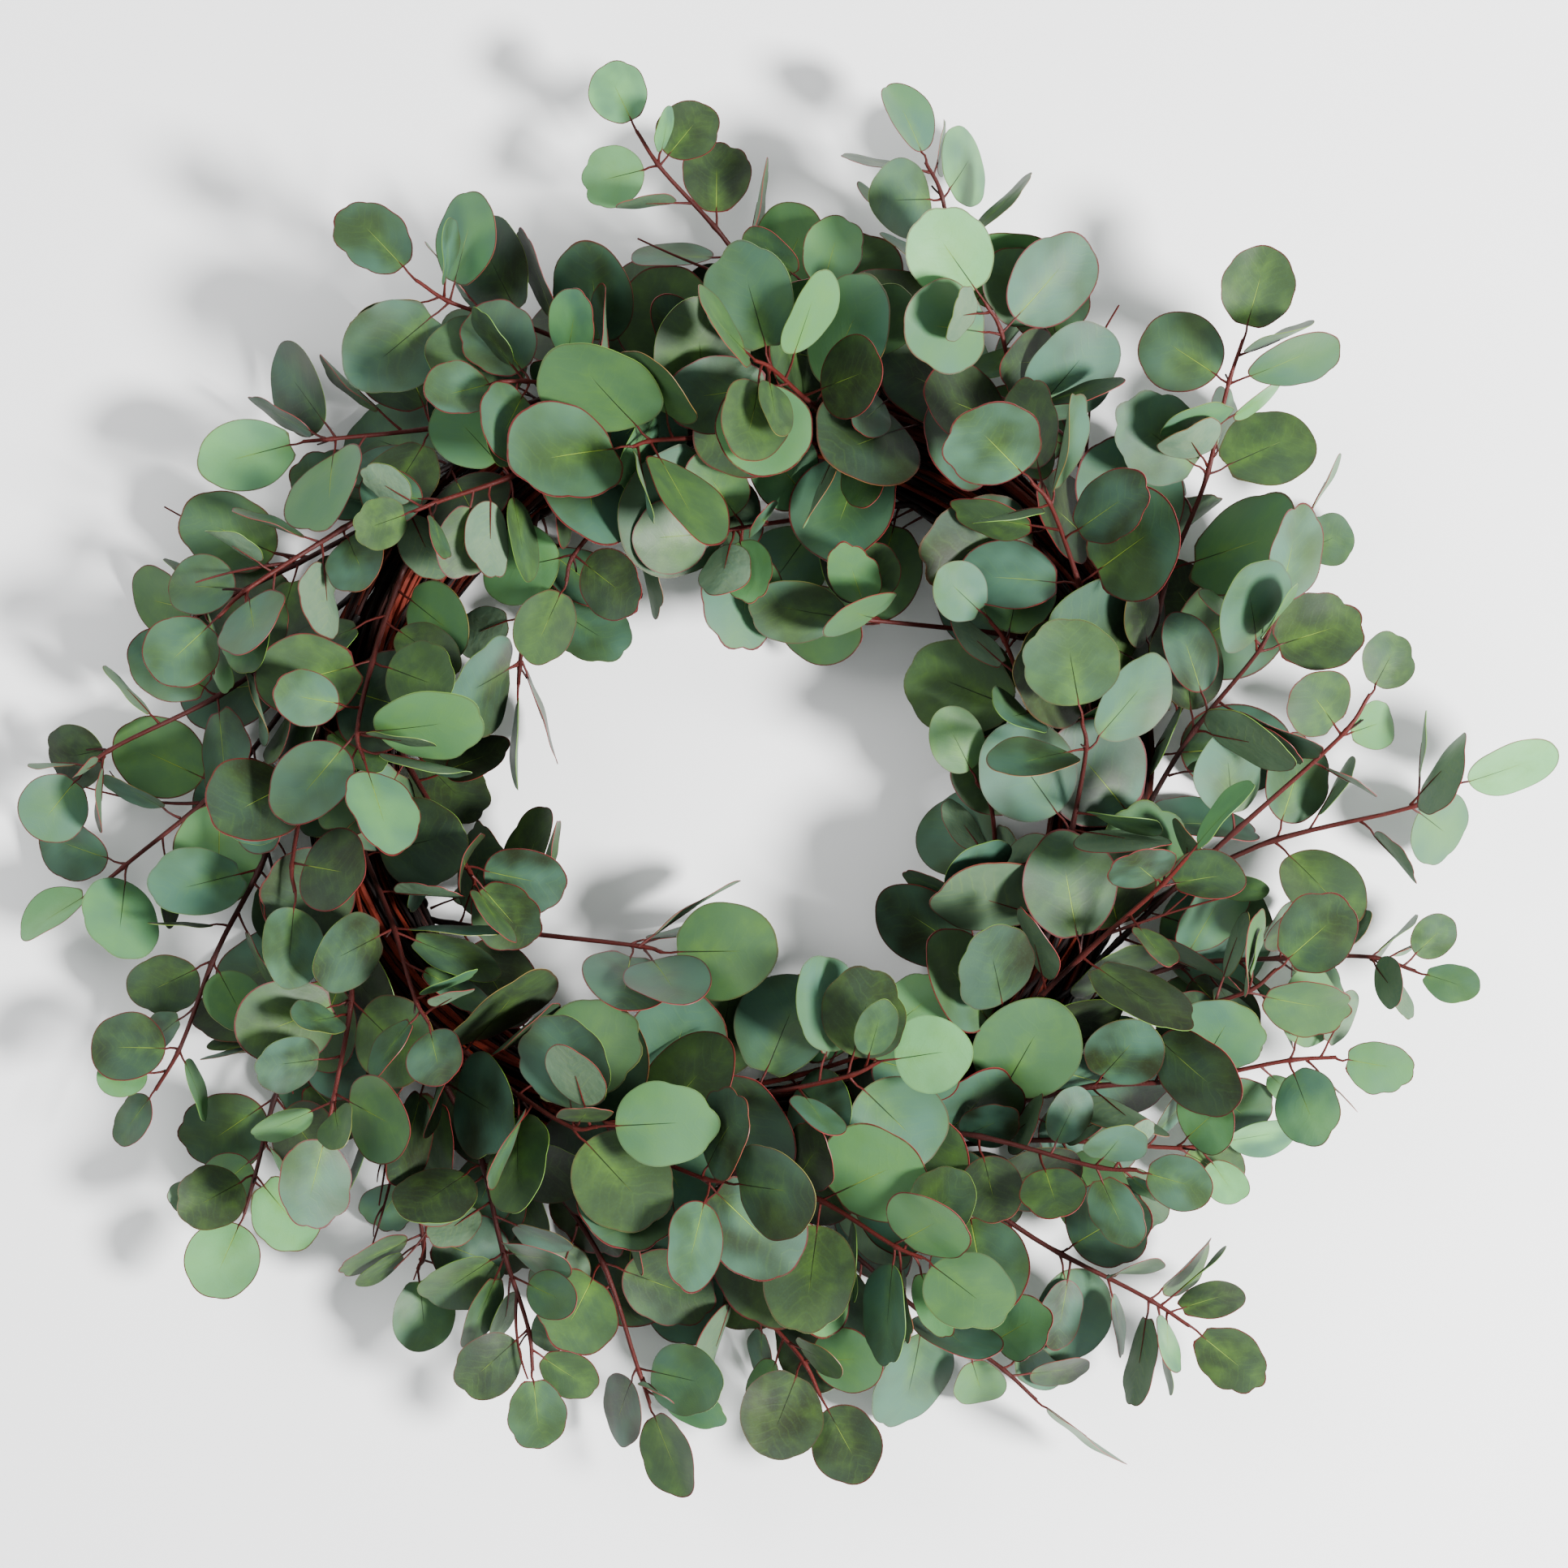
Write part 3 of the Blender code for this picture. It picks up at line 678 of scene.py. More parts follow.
def further_leaf(number, spray, tier, hand, filling, draw):
    """A smaller leaf between two pairs, where one finds room."""
    route = layout().routes[number]
    lost = filling.lost_low + (filling.lost_high - filling.lost_low) * (tier + 1) / spray.pairs
    if draw.random() < lost:
        return None
    for attempt in range(FURTHER_TRIES):
        share = draw.uniform(filling.least_place, filling.most_place)
        leaf = leaf_at(spray, route, tier, hand, draw, attempt, share)
        scale = draw.uniform(*FURTHER_SIZE)
        roll = draw.gauss(0, FURTHER_ROLL)
        if draw.random() < filling.edge_on:
            roll += draw.choice((-1, 1)) * draw.uniform(*FURTHER_EDGE_ON)
        turned = Matrix.Rotation(math.radians(roll), 3, leaf.axis) @ leaf.normal
        width = leaf.width * scale * draw.uniform(*FURTHER_WIDTH)
        petiole = leaf.petiole * draw.uniform(1.0, 1.5)
        leaf = leaf._replace(length=leaf.length * scale, width=width, petiole=petiole, normal=turned)
        full = leaf_shape(leaf)
        if past_edge(leaf) or any(clash(full, twig) for twig in layout().twigs):
            continue
        if layout().is_clear(number, leaf):
            layout().shapes[number].append((full, leaf_shape(leaf, stalk=False)))
            return leaf
    return None


def past_edge(leaf):
    """Whether a leaf would fill the wreath's edge where it is thin. One seen edge-on doesn't."""
    if abs(leaf.normal.z) < SLENDER:
        return False
    tip = leaf.place(0.0, leaf.petiole + leaf.length)
    clock = math.degrees(math.atan2(tip.y, tip.x)) % 360
    return math.hypot(tip.x, tip.y) > THIN_EDGE and not FULL_SIDE[0] < clock < FULL_SIDE[1]


def share_along(route, leaf):
    """How far up its stem a leaf grows."""
    gaps = [(leaf.foot - point).length for point in route]
    return gaps.index(min(gaps)) / (len(route) - 1)


def in_metres(points):
    """Layout points, in millimetres round the ring's centre, where they lie in the part's frame."""
    return (np.asarray(points, float) - np.array(layout().centre)) * MM


def srgb(*levels):
    """A colour given as 0 to 255 on a screen, as the linear numbers that a shader takes."""
    return tuple((c / 255 / 12.92) if c <= 10 else ((c / 255 + 0.055) / 1.055) ** 2.4 for c in levels)


def user_colour(name, description, *levels):
    """A colour that a user may change, given as it looks on a screen."""
    return FloatVectorProperty(name=name, description=description, subtype="COLOR", default=srgb(*levels))


class LeafLook(bpy.types.PropertyGroup):
    """Sizes and colours of the leaves."""

    thickness: FloatProperty(
        name="Thickness", description="Thickness of a blade at its middle", default=0.6 * MM,
        unit="LENGTH")
    ripple: FloatProperty(
        name="Ripple", description="Height of the waves along a leaf's edge, as a share of its length",
        default=0.018, subtype="FACTOR")
    scallop: FloatProperty(
        name="Scallop", description="Depth of the bays round a leaf's far end, as a share of its length",
        default=0.09, subtype="FACTOR")
    cup: FloatVectorProperty(
        name="Cup", description="Least and most that a blade is hollowed across, 0 being flat", size=2,
        default=(-0.22, 0.3))
    green: user_colour("Green", "Colour of most upper faces", 51, 70, 43)
    deep: user_colour("Deep green", "Colour of old, shaded upper faces", 35, 40, 26)
    bloom: user_colour("Bloom", "Colour of the waxy blue bloom", 64, 99, 82)
    young: user_colour("Young green", "Colour of the youngest leaves", 108, 168, 106)
    flesh: user_colour("Flesh", "Yellow-green that shows beside the veins", 92, 132, 44)
    vein: user_colour("Vein", "Colour of a midrib's far half", 130, 156, 56)
    edge: user_colour("Edge", "Colour of the thin line round an upper face", 76, 20, 22)
    rim: user_colour("Rim", "Colour of the cut edge, seen from the side", 126, 40, 38)
    under: user_colour("Underside", "Colour of the lower faces", 98, 121, 96)


class StemLook(bpy.types.PropertyGroup):
    """Sizes and colours of the stems and leaf stalks."""

    slimness: FloatProperty(
        name="Slimness", description="Radius of a stem, as a share of its solid's", default=0.68,
        subtype="FACTOR")
    swelling: FloatProperty(
        name="Swelling", description="How much thicker a stem is at a pair of leaves, as a share",
        default=0.35, subtype="FACTOR")
    stalk_radius: FloatProperty(
        name="Stalk radius", description="Radius of a leaf stalk at the stem", default=0.72 * MM,
        unit="LENGTH")
    shoots: IntProperty(
        name="Bare shoots", description="How many thin shoots without leaves branch off the stems",
        default=14)
    fresh: user_colour("Fresh bark", "Colour of stalks and of stems near their tips", 80, 23, 18)
    old: user_colour("Old bark", "Colour of stems near their roots", 20, 12, 11)
    pores: user_colour("Pores", "Colour of the small pores in the bark of stems", 120, 80, 68)


class RingLook(bpy.types.PropertyGroup):
    """Sizes and colours of the ring's twigs."""

    slots: IntProperty(
        name="Twigs in a strand", description="How many twigs lie side by side in each strand",
        default=15)
    twig_radius: FloatProperty(
        name="Twig radius", description="Radius of a middling twig", default=1.4 * MM, unit="LENGTH")
    turns: FloatProperty(
        name="Turns", description="How often a strand's twigs wind round each other on their way round",
        default=2.0)
    wandering: IntProperty(
        name="Wandering twigs", default=34,
        description="How many thin twigs run over the bundle from strand to strand")
    loose_ends: IntProperty(
        name="Loose ends", description="How many twig ends stand out of the ring", default=40)
    bows: IntProperty(
        name="Bowed twigs", description="How many thin twigs bow out of the ring and back into it",
        default=4)
    lit: user_colour("Red bark", "Colour of the redder twigs", 98, 31, 17)
    dark: user_colour("Dark bark", "Colour of the darker twigs", 20, 12, 11)


class StageLook(bpy.types.PropertyGroup):
    """The floor, the lights and the camera."""

    floor: FloatVectorProperty(
        name="Floor", description="Colour of the floor", subtype="COLOR", default=(0.96, 0.96, 0.96))
    key: FloatProperty(
        name="Key light", description="Power of the main light", default=230.0, unit="POWER")
    fill: FloatProperty(
        name="Fill light", description="Power of the second light", default=30.0, unit="POWER")
    camera_height: FloatProperty(
        name="Camera height", description="How high the camera stands over the floor", default=2.2,
        unit="LENGTH")
    seen_width: FloatProperty(
        name="Seen width", description="Width that the picture shows, at the height of the leaves",
        default=0.727, unit="LENGTH")


def deselect():
    """Leaves nothing selected, so that the next operator acts on its own object alone."""
    if bpy.context.mode != "OBJECT":
        bpy.ops.object.mode_set(mode="OBJECT")
    bpy.ops.object.select_all(action="DESELECT")


def hide_away(blank):
    """Keeps a blank's mesh for copies and takes its object out of the scene."""
    mesh = blank.data
    mesh.use_fake_user = True
    bpy.data.objects.remove(blank)
    return mesh


@functools.cache
def leaf_blank():
    """A square blank for a leaf: x and y run from -1 to 1, and z from one face to the other."""
    deselect()
    bpy.ops.mesh.primitive_grid_add(x_subdivisions=LEAF_COLUMNS, y_subdivisions=LEAF_ROWS, size=2)
    blank = bpy.context.object
    blank.name = "leaf_blank"
    body = blank.modifiers.new("Body", "SOLIDIFY")
    body.thickness = 1
    body.offset = 0
    bpy.ops.object.modifier_apply(modifier=body.name)
    mesh = blank.data
    for look in (upper_face(), lower_face(), leaf_rim()):
        mesh.materials.append(look)
    for face in mesh.polygons:
        face.material_index = 0 if face.normal.z > 0.5 else 1 if face.normal.z < -0.5 else 2
    disc = mesh.uv_layers.active
    disc.name = "Disc"
    for loop in mesh.loops:
        x, y = on_disc(*mesh.vertices[loop.vertex_index].co.xy)
        disc.data[loop.index].uv = (0.5 + x / 2, 0.5 + y / 2)
    return hide_away(blank)


def on_disc(across, up):
    """Where a point of the square blank lies on a round leaf whose centre is 0 and whose edge is 1."""
    share = ((up + 1) / 2) ** ROWS_TO_TIP
    turn = math.pi * (share - BROADEST_SHIFT * math.sin(math.pi * share) ** 2)
    return across * max(math.sin(turn), 0.03), -math.cos(turn)


@functools.cache
def blank_places():
    """The leaf blank's points as arrays: across and up on the disc, and which face."""
    places = np.array([(*on_disc(*v.co.xy), v.co.z) for v in leaf_blank().vertices])
    return places[:, 0], places[:, 1], places[:, 2]


def any_phase(draw):
    """Where a wave starts, in radians."""
    return draw.uniform(0, 7)


def edge_bays(x, y, scallop, draw):
    """How far each point of the disc moves out: bays round the far end, and a slightly uneven whole."""
    angle = np.arctan2(x, y)
    lobes = draw.choice(LOBES)
    bays = np.abs(np.sin(lobes * angle / 2 + draw.uniform(0, 3))) - 0.64
    bays *= 1 + 0.6 * np.sin(1.5 * angle + any_phase(draw))
    uneven = np.sin(2 * angle + any_phase(draw)) + 0.7 * np.sin(3 * angle + any_phase(draw))
    return 1 + scallop * (bays + 0.45 * uneven) * ((1 + y) / 2) ** 0.7 * (x**2 + y**2)


@functools.cache
def blank_faces():
    return [tuple(face.vertices) for face in leaf_blank().polygons]


def clear_blade(leaf, look, draw, taken):
    """The points and the shape of one leaf, flatter and flatter until it crosses nothing in taken."""
    seed = draw.random()
    for calm, size in CALM_STEPS:
        smaller = leaf._replace(length=leaf.length * size, width=leaf.width * size)
        points = blade_points(smaller, look, random.Random(seed), calm)
        shape = shape_of([Vector(point) for point in points], blank_faces())
        if not any(clash(shape, other) for other in taken):
            break
    return points, shape


def blade_points(leaf, look, draw, calm):
    """The leaf blank's points, bent into one leaf, in millimetres. Calm is the share of its waves."""
    x, y, z = blank_places()
    out = edge_bays(x, y, look.scallop * draw.choice(BAY_SHARES) * (0.4 + 0.6 * calm), draw)
    across = x * out * leaf.width / 2 * SIDE_SWELL
    ears = draw.choice(EAR_DEPTHS) * np.exp(-(((np.abs(x) - 0.36) / 0.2) ** 2)) * (y < 0)
    blade = leaf.length / 2 * (1 + y * out - 2 * ears)
    soft = draw.uniform(*FOLD_SOFTNESS) * (0.2 + 0.8 * calm)
    bent = leaf.fold * (np.sqrt(across**2 + soft**2) - soft) - leaf.curl * blade**2 / leaf.length
    bent += leaf.twist * across * blade / leaf.length
    bent += calm * draw.uniform(*look.cup) * across**2 / leaf.width
    waves = np.sin(
        draw.uniform(*WAVES_ALONG) * y + any_phase(draw) + np.where(x > 0, draw.uniform(0, 3), 0))
    bent += calm * look.ripple * leaf.length * np.abs(x) ** 2 * waves
    bent += z * look.thickness / MM * (1 - RIM_THINNING * (x**2 + y**2))
    side = np.array(leaf.axis.cross(leaf.normal))
    along = leaf.petiole + blade
    return (np.array(leaf.foot) + np.outer(across, side) + np.outer(along, np.array(leaf.axis))
            + np.outer(bent, np.array(leaf.normal)))


def mark(mesh, name, values):
    """Stores three numbers for each point of a mesh."""
    attribute = mesh.attributes.new(name, "FLOAT_VECTOR", "POINT")
    attribute.data.foreach_set("vector", np.asarray(values, np.float32).ravel())


def copy_of(blank, name, points):
    """An object with its own copy of a blank's mesh, its points moved, given in layout millimetres."""
    mesh = blank.copy()
    mesh.use_fake_user = False
    mesh.name = name
    mesh.vertices.foreach_set("co", in_metres(points).astype(np.float32).ravel())
    mesh.update()
    made = bpy.data.objects.new(name, mesh)
    bpy.context.scene.collection.objects.link(made)
    return made


def join(objects, name, sharp_degrees):
    """One piece from several objects, shaded smooth except over sharp edges."""
    deselect()
    for part in objects:
        part.select_set(True)
    bpy.context.view_layer.objects.active = objects[0]
    if len(objects) > 1:
        bpy.ops.object.join()
    made = bpy.context.view_layer.objects.active
    made.name = name
    made.data.name = name
    bpy.ops.object.shade_smooth_by_angle(angle=math.radians(sharp_degrees))
    return made


@functools.cache
def twig_blank(sides, steps):
    """A straight round blank for a twig, one thick and one long, with a ring of points at each step."""
    deselect()
    bpy.ops.mesh.primitive_cylinder_add(
        vertices=sides, radius=1, depth=1, end_fill_type="NGON", location=(0, 0, 0.5))
    blank = bpy.context.object
    blank.name = "twig_blank"
    bpy.ops.object.transform_apply(location=True, rotation=False, scale=False)
    bpy.ops.object.mode_set(mode="EDIT")
    bpy.ops.mesh.select_mode(type="EDGE")
    bpy.ops.mesh.select_all(action="DESELECT")
    mesh = bmesh.from_edit_mesh(blank.data)
    for edge in mesh.edges:
        edge.select = abs(edge.verts[0].co.z - edge.verts[1].co.z) > 0.5
    bmesh.update_edit_mesh(blank.data)
    bpy.ops.mesh.subdivide(number_cuts=steps - 1)
    bpy.ops.object.mode_set(mode="OBJECT")
    return hide_away(blank)


def smooth_path(points, places):
    """Points of the smooth curve through a list of points, at places counted in points from the first."""
    points = [2 * points[0] - points[1], *points, 2 * points[-1] - points[-2]]
    found = []
    for place in places:
        i = min(int(place), len(points) - 4)
        t = place - i
        a, b, c, d = points[i:i + 4]
        found.append((2 * b + (c - a) * t + (2 * a - 5 * b + 4 * c - d) * t * t
                      + (3 * b - a - 3 * c + d) * t**3) / 2)
    return np.array(found)


def bend(sides, name, path, radii, tone, look, age=(0.0, 0.0)):
    """A twig blank bent along a path, as thick as radii, in layout millimetres."""
    blank = twig_blank(sides, len(path) - 1)
    ahead = np.gradient(path, axis=0)
    ahead /= np.linalg.norm(ahead, axis=1)[:, None]
    beside = np.cross(ahead[0], (0.3, 0.2, 1.0))
    sideways = []
    for way in ahead:
        beside = beside - way * np.dot(beside, way)
        beside /= np.linalg.norm(beside)
        sideways.append(beside)
    sideways = np.array(sideways)
    upwards = np.cross(ahead, sideways)
    gone = np.concatenate([[0.0], np.cumsum(np.linalg.norm(np.diff(path, axis=0), axis=1))])
    co = np.empty(len(blank.vertices) * 3, np.float32)
    blank.vertices.foreach_get("co", co)
    co = co.reshape(-1, 3)
    step = np.rint(co[:, 2] * (len(path) - 1)).astype(int)
    thick = np.asarray(radii)[step][:, None]
    points = path[step] + (sideways[step] * co[:, :1] + upwards[step] * co[:, 1:2]) * thick
    made = copy_of(blank, name, points)
    made.data.materials.clear()
    made.data.materials.append(look)
    grain = np.column_stack([co[:, 0] * thick[:, 0], co[:, 1] * thick[:, 0], gone[step] + 300 * tone[2]])
    mark(made.data, "grain", grain)
    share = gone[step] / gone[-1]
    mark(made.data, "tone", np.column_stack([
        np.full(len(step), tone[0]), np.full(len(step), tone[1]), age[0] + (age[1] - age[0]) * share]))
    return made


class Tree:
    """A material's nodes, added by short calls."""

    def __init__(self, name):
        self.material = bpy.data.materials.new(name)
        self.material.use_nodes = True
        self.nodes = self.material.node_tree.nodes
        self.links = self.material.node_tree.links
        self.shader = self.nodes["Principled BSDF"]

    def put(self, socket, value):
        if isinstance(value, bpy.types.NodeSocket):
            self.links.new(value, socket)
        elif socket.type == "RGBA" and len(value) == 3:
            socket.default_value = (*value, 1)
        else:
            socket.default_value = value

    def math(self, operation, a, b=0.0, c=0.0):
        node = self.nodes.new("ShaderNodeMath")
        node.operation = operation
        for socket, value in zip(node.inputs, (a, b, c)):
            self.put(socket, value)
        return node.outputs[0]

    def times(self, a, b):
        return self.math("MULTIPLY", a, b)

    def vector(self, operation, a, b=(0.0, 0.0, 0.0), c=(0.0, 0.0, 0.0)):
        node = self.nodes.new("ShaderNodeVectorMath")
        node.operation = operation
        for socket, value in zip(node.inputs, (a, b, c)):
            self.put(socket, value)
        return node.outputs["Value" if operation in ("LENGTH", "DOT_PRODUCT") else "Vector"]

    def split(self, vector):
        node = self.nodes.new("ShaderNodeSeparateXYZ")
        self.put(node.inputs[0], vector)
        return node.outputs

    def stored(self, name):
        node = self.nodes.new("ShaderNodeAttribute")
        node.attribute_name = name
        return node.outputs["Vector"]

    def uv(self, name):
        node = self.nodes.new("ShaderNodeUVMap")
        node.uv_map = name
        return node.outputs[0]

    def noise(self, place, scale, detail=3.0, roughness=0.55, distortion=0.0):
        node = self.nodes.new("ShaderNodeTexNoise")
        self.put(node.inputs["Vector"], place)
        self.put(node.inputs["Scale"], scale)
        self.put(node.inputs["Detail"], detail)
        self.put(node.inputs["Roughness"], roughness)
        self.put(node.inputs["Distortion"], distortion)
        return node.outputs["Fac"]

    def ramp(self, value, start, end, low=0.0, high=1.0):
        """Turns a value smoothly from low to high as it goes from start to end."""
        node = self.nodes.new("ShaderNodeMapRange")
        node.interpolation_type = "SMOOTHSTEP"
        for socket, number in zip(node.inputs, (value, start, end, low, high)):
            self.put(socket, number)
        return node.outputs[0]

    def mix(self, share, a, b):
        node = self.nodes.new("ShaderNodeMix")
        node.data_type = "RGBA"
        self.put(node.inputs[0], share)
        self.put(node.inputs[6], a)
        self.put(node.inputs[7], b)
        return node.outputs[2]

    def raise_by(self, height, depth, strength=1.0):
        node = self.nodes.new("ShaderNodeBump")
        self.put(node.inputs["Height"], height)
        node.inputs["Distance"].default_value = depth
        node.inputs["Strength"].default_value = strength
        self.links.new(node.outputs[0], self.shader.inputs["Normal"])

    def finish(self, colour, roughness, **constants):
        self.put(self.shader.inputs["Base Color"], colour)
        self.put(self.shader.inputs["Roughness"], roughness)
        for name, value in constants.items():
            self.put(self.shader.inputs[name.replace("_", " ").title().replace("Ior", "IOR")], value)
        return self.material


def leaf_places(tree):
    """A leaf's own coordinates: across, up, out from its centre, its tones, and a pattern's place."""
    disc = tree.vector("MULTIPLY_ADD", tree.uv("Disc"), (2, 2, 0), (-1, -1, 0))
    across, up, _ = tree.split(disc)
    tone = tree.stored("tone")
    pattern = tree.vector("MULTIPLY_ADD", tone, (37, 41, 43), disc)
    return tree.math("ABSOLUTE", across), up, tree.vector("LENGTH", disc), tree.split(tone), pattern


def side_veins(tree, across, up, pattern):
    """How much a point lies on one of the faint veins that fan out from the midrib."""
    fan = tree.math("MULTIPLY_ADD", across, -0.75, up)
    wobble = tree.math("MULTIPLY_ADD", tree.noise(pattern, 1.6, 2.0), 0.5, fan)
    fraction = tree.math("FRACT", tree.times(wobble, 4.2))
    wave = tree.math("ABSOLUTE", tree.math("SUBTRACT", fraction, 0.5))
    line = tree.ramp(wave, 0.16, 0.0)
    return tree.times(line, tree.ramp(across, 0.95, 0.1))


@functools.cache
def upper_face():
    """The upper face of a leaf: waxy blue bloom over green, veins, and a red line round the edge. Its
    green runs from deep on leaves low on their stems to young near the tips, partly for age and partly as
    painted shade on the low leaves.
    """
    look = bpy.context.scene.wreath_leaves
    tree = Tree("leaf_upper_face")
    across, up, out, tone, pattern = leaf_places(tree)
    veins = side_veins(tree, across, up, pattern)
    clouds = tree.noise(pattern, 0.75, 2.0, 0.45)
    streaks = tree.noise(pattern, 3.0, 4.0, 0.6, 0.4)
    patches = tree.noise(tree.vector("ADD", pattern, (9, 5, 3)), 1.7, 3.0, 0.5, 0.3)
    grain = tree.noise(pattern, 22.0, 3.0)

    # Partly age and partly painted shade: the deep green goes on leaves low on their stems, which lie
    # under the others, and the young green on those near the tips.
    colour = tree.mix(tree.ramp(tone[0], 0.1, 0.5), look.deep[:], look.green[:])
    colour = tree.mix(tree.ramp(tone[0], 0.5, 1.0, 0.0, 0.95), colour, look.young[:])
    bloom = tree.times(tree.ramp(clouds, 0.28, 0.72), tree.ramp(tone[1], 0.15, 0.9, 0.1, 0.95))
    colour = tree.mix(bloom, colour, look.bloom[:])
    flesh = tree.times(tree.ramp(patches, 0.36, 0.78), tree.ramp(streaks, 0.2, 0.8, 0.14, 0.3))
    flesh = tree.times(flesh, tree.ramp(tone[1], 0.2, 0.9, 1.0, 0.35))
    flesh = tree.times(flesh, tree.ramp(tone[0], 0.0, 0.4, 0.45, 1.0))
    colour = tree.mix(flesh, colour, look.flesh[:])
    colour = tree.mix(tree.times(veins, 0.06), colour, look.flesh[:])

    halo = tree.times(tree.ramp(across, 0.32, 0.0), tree.ramp(up, 0.6, -0.4))
    halo = tree.times(halo, tree.ramp(streaks, 0.3, 0.7, 0.06, 0.36))
    halo = tree.times(halo, tree.ramp(tone[0], 0.0, 0.5, 0.4, 1.0))
    colour = tree.mix(halo, colour, look.flesh[:])
    width = tree.ramp(up, -1.0, 0.3, 0.017, 0.007)
    rib = tree.ramp(tree.math("DIVIDE", across, width), 1.0, 0.5)
    rib = tree.times(rib, tree.ramp(up, 0.3, 0.0))
    rib_end = tree.math("ADD", up, tree.ramp(tone[2], 0.0, 1.0, -0.3, 1.1))
    rib_colour = tree.mix(tree.ramp(rib_end, -0.1, 0.25), tuple(c * 0.5 for c in look.deep), look.vein[:])
    rib_colour = tree.mix(tree.ramp(up, -0.6, -1.0, 0.0, 0.8), rib_colour, look.edge[:])
    colour = tree.mix(tree.times(rib, 0.85), colour, rib_colour)

    rim = tree.times(tree.ramp(out, 0.962, 0.982), tree.ramp(tone[2], 0.15, 0.7, 0.25, 1.0))
    rim = tree.times(rim, tree.ramp(streaks, 0.3, 0.5, 0.5, 1.0))
    colour = tree.mix(rim, colour, look.edge[:])
    colour = tree.mix(tree.times(tree.ramp(grain, 0.45, 0.8), 0.1), colour, look.bloom[:])
    height = tree.math("MULTIPLY_ADD", veins, 0.018, tree.times(grain, 0.04))
    height = tree.math("MULTIPLY_ADD", clouds, 1.3, height)
    tree.raise_by(tree.math("MULTIPLY_ADD", rib, -0.5, height), 0.0008, 1.0)
    return tree.finish(colour, tree.ramp(clouds, 0.3, 0.7, 0.42, 0.55), specular_ior_level=0.2)


@functools.cache
def lower_face():
    """The lower face of a leaf: paler and greyer, with a raised midrib."""
    look = bpy.context.scene.wreath_leaves
    tree = Tree("leaf_lower_face")
    across, up, out, tone, pattern = leaf_places(tree)
    veins = side_veins(tree, across, up, pattern)
    clouds = tree.noise(pattern, 1.4, 3.0)
    colour = tree.mix(tree.ramp(clouds, 0.4, 0.65, 0.0, 0.35), look.under[:], look.bloom[:])
    # Undersides of leaves low on their stems are mixed towards the darker green: partly age, partly
    # painted shade.
    colour = tree.mix(tree.ramp(tone[0], 0.1, 0.8, 0.5, 0.0), colour, look.green[:])
    colour = tree.mix(tree.times(veins, 0.1), colour, look.vein[:])
    colour = tree.mix(tree.times(tree.ramp(out, 0.968, 0.986), 0.8), colour, look.edge[:])
    tree.raise_by(tree.math("MULTIPLY_ADD", veins, 0.03, clouds), 0.0008, 1.0)
    return tree.finish(colour, 0.6, specular_ior_level=0.2)


@functools.cache
def leaf_rim():
    """The cut edge of a leaf."""
    look = bpy.context.scene.wreath_leaves
    tree = Tree("leaf_edge")
    tone = tree.split(tree.stored("tone"))
    colour = tree.mix(tree.ramp(tone[2], 0.2, 0.5), look.flesh[:], look.rim[:])
    return tree.finish(colour, 0.5)


@functools.cache
def stem_bark():
    """Bark of the leafy stems: red at the tips, brown at the roots, with small pale pores. The brown at
    the roots is partly older bark and partly painted shade.
    """
    look = bpy.context.scene.wreath_stems
    tree = Tree("stem_bark")
    grain = tree.stored("grain")
    tone = tree.split(tree.stored("tone"))
    streaks = tree.noise(tree.vector("MULTIPLY", grain, (1, 1, 0.16)), 1.1, 4.0, 0.6)
    pores = tree.noise(tree.vector("MULTIPLY", grain, (1, 1, 0.7)), 1.9, 1.0)
    # Old bark towards the root is partly painted shade, fresh bark towards the tip the stem's own red.
    colour = tree.mix(tree.math("MULTIPLY_ADD", streaks, 0.5, tree.math("SUBTRACT", tone[2], 0.25)),
                      look.old[:], look.fresh[:])
    colour = tree.mix(tree.ramp(streaks, 0.55, 0.75, 0.0, 0.6), colour, look.old[:])
    colour = tree.mix(tree.ramp(pores, 0.72, 0.8, 0.0, 0.4), colour, look.pores[:])
    tree.raise_by(tree.math("ADD", streaks, pores), 0.0004, 0.6)
    return tree.finish(colour, tree.ramp(streaks, 0.3, 0.7, 0.45, 0.65), specular_ior_level=0.22)


@functools.cache
def twig_bark():
    """Bark of the ring's twigs: dark and dull, some twigs redder than others."""
    look = bpy.context.scene.wreath_ring
    tree = Tree("twig_bark")
    grain = tree.stored("grain")
    tone = tree.split(tree.stored("tone"))
    streaks = tree.noise(tree.vector("MULTIPLY", grain, (1, 1, 0.1)), 1.3, 4.0, 0.65)
    bands = tree.noise(tree.vector("MULTIPLY", grain, (0.2, 0.2, 0.05)), 1.0, 2.0)
    share = tree.math("MULTIPLY_ADD", tree.ramp(bands, 0.35, 0.65), 0.35,
                      tree.ramp(tone[0], 0.4, 1.0, -0.2, 0.8))
    colour = tree.mix(share, look.dark[:], look.lit[:])
    colour = tree.mix(tree.ramp(streaks, 0.5, 0.72, 0.0, 0.6), colour, look.dark[:])
    tree.raise_by(streaks, 0.0005, 0.7)
    return tree.finish(colour, tree.ramp(streaks, 0.3, 0.7, 0.55, 0.8), specular_ior_level=0.12)


def twig_slots(count, radius, draw):
    """Where a strand's twigs lie in its section: a few round the middle and the rest round them."""
    inner = count // 4
    slots = [(radius * 0.35, 360 * i / inner + draw.uniform(-20, 20)) for i in range(inner)]
    outer = count - inner
    return slots + [(radius - draw.uniform(1.3, 2.4), 360 * i / outer + draw.uniform(-8, 8))
                    for i in range(outer)]


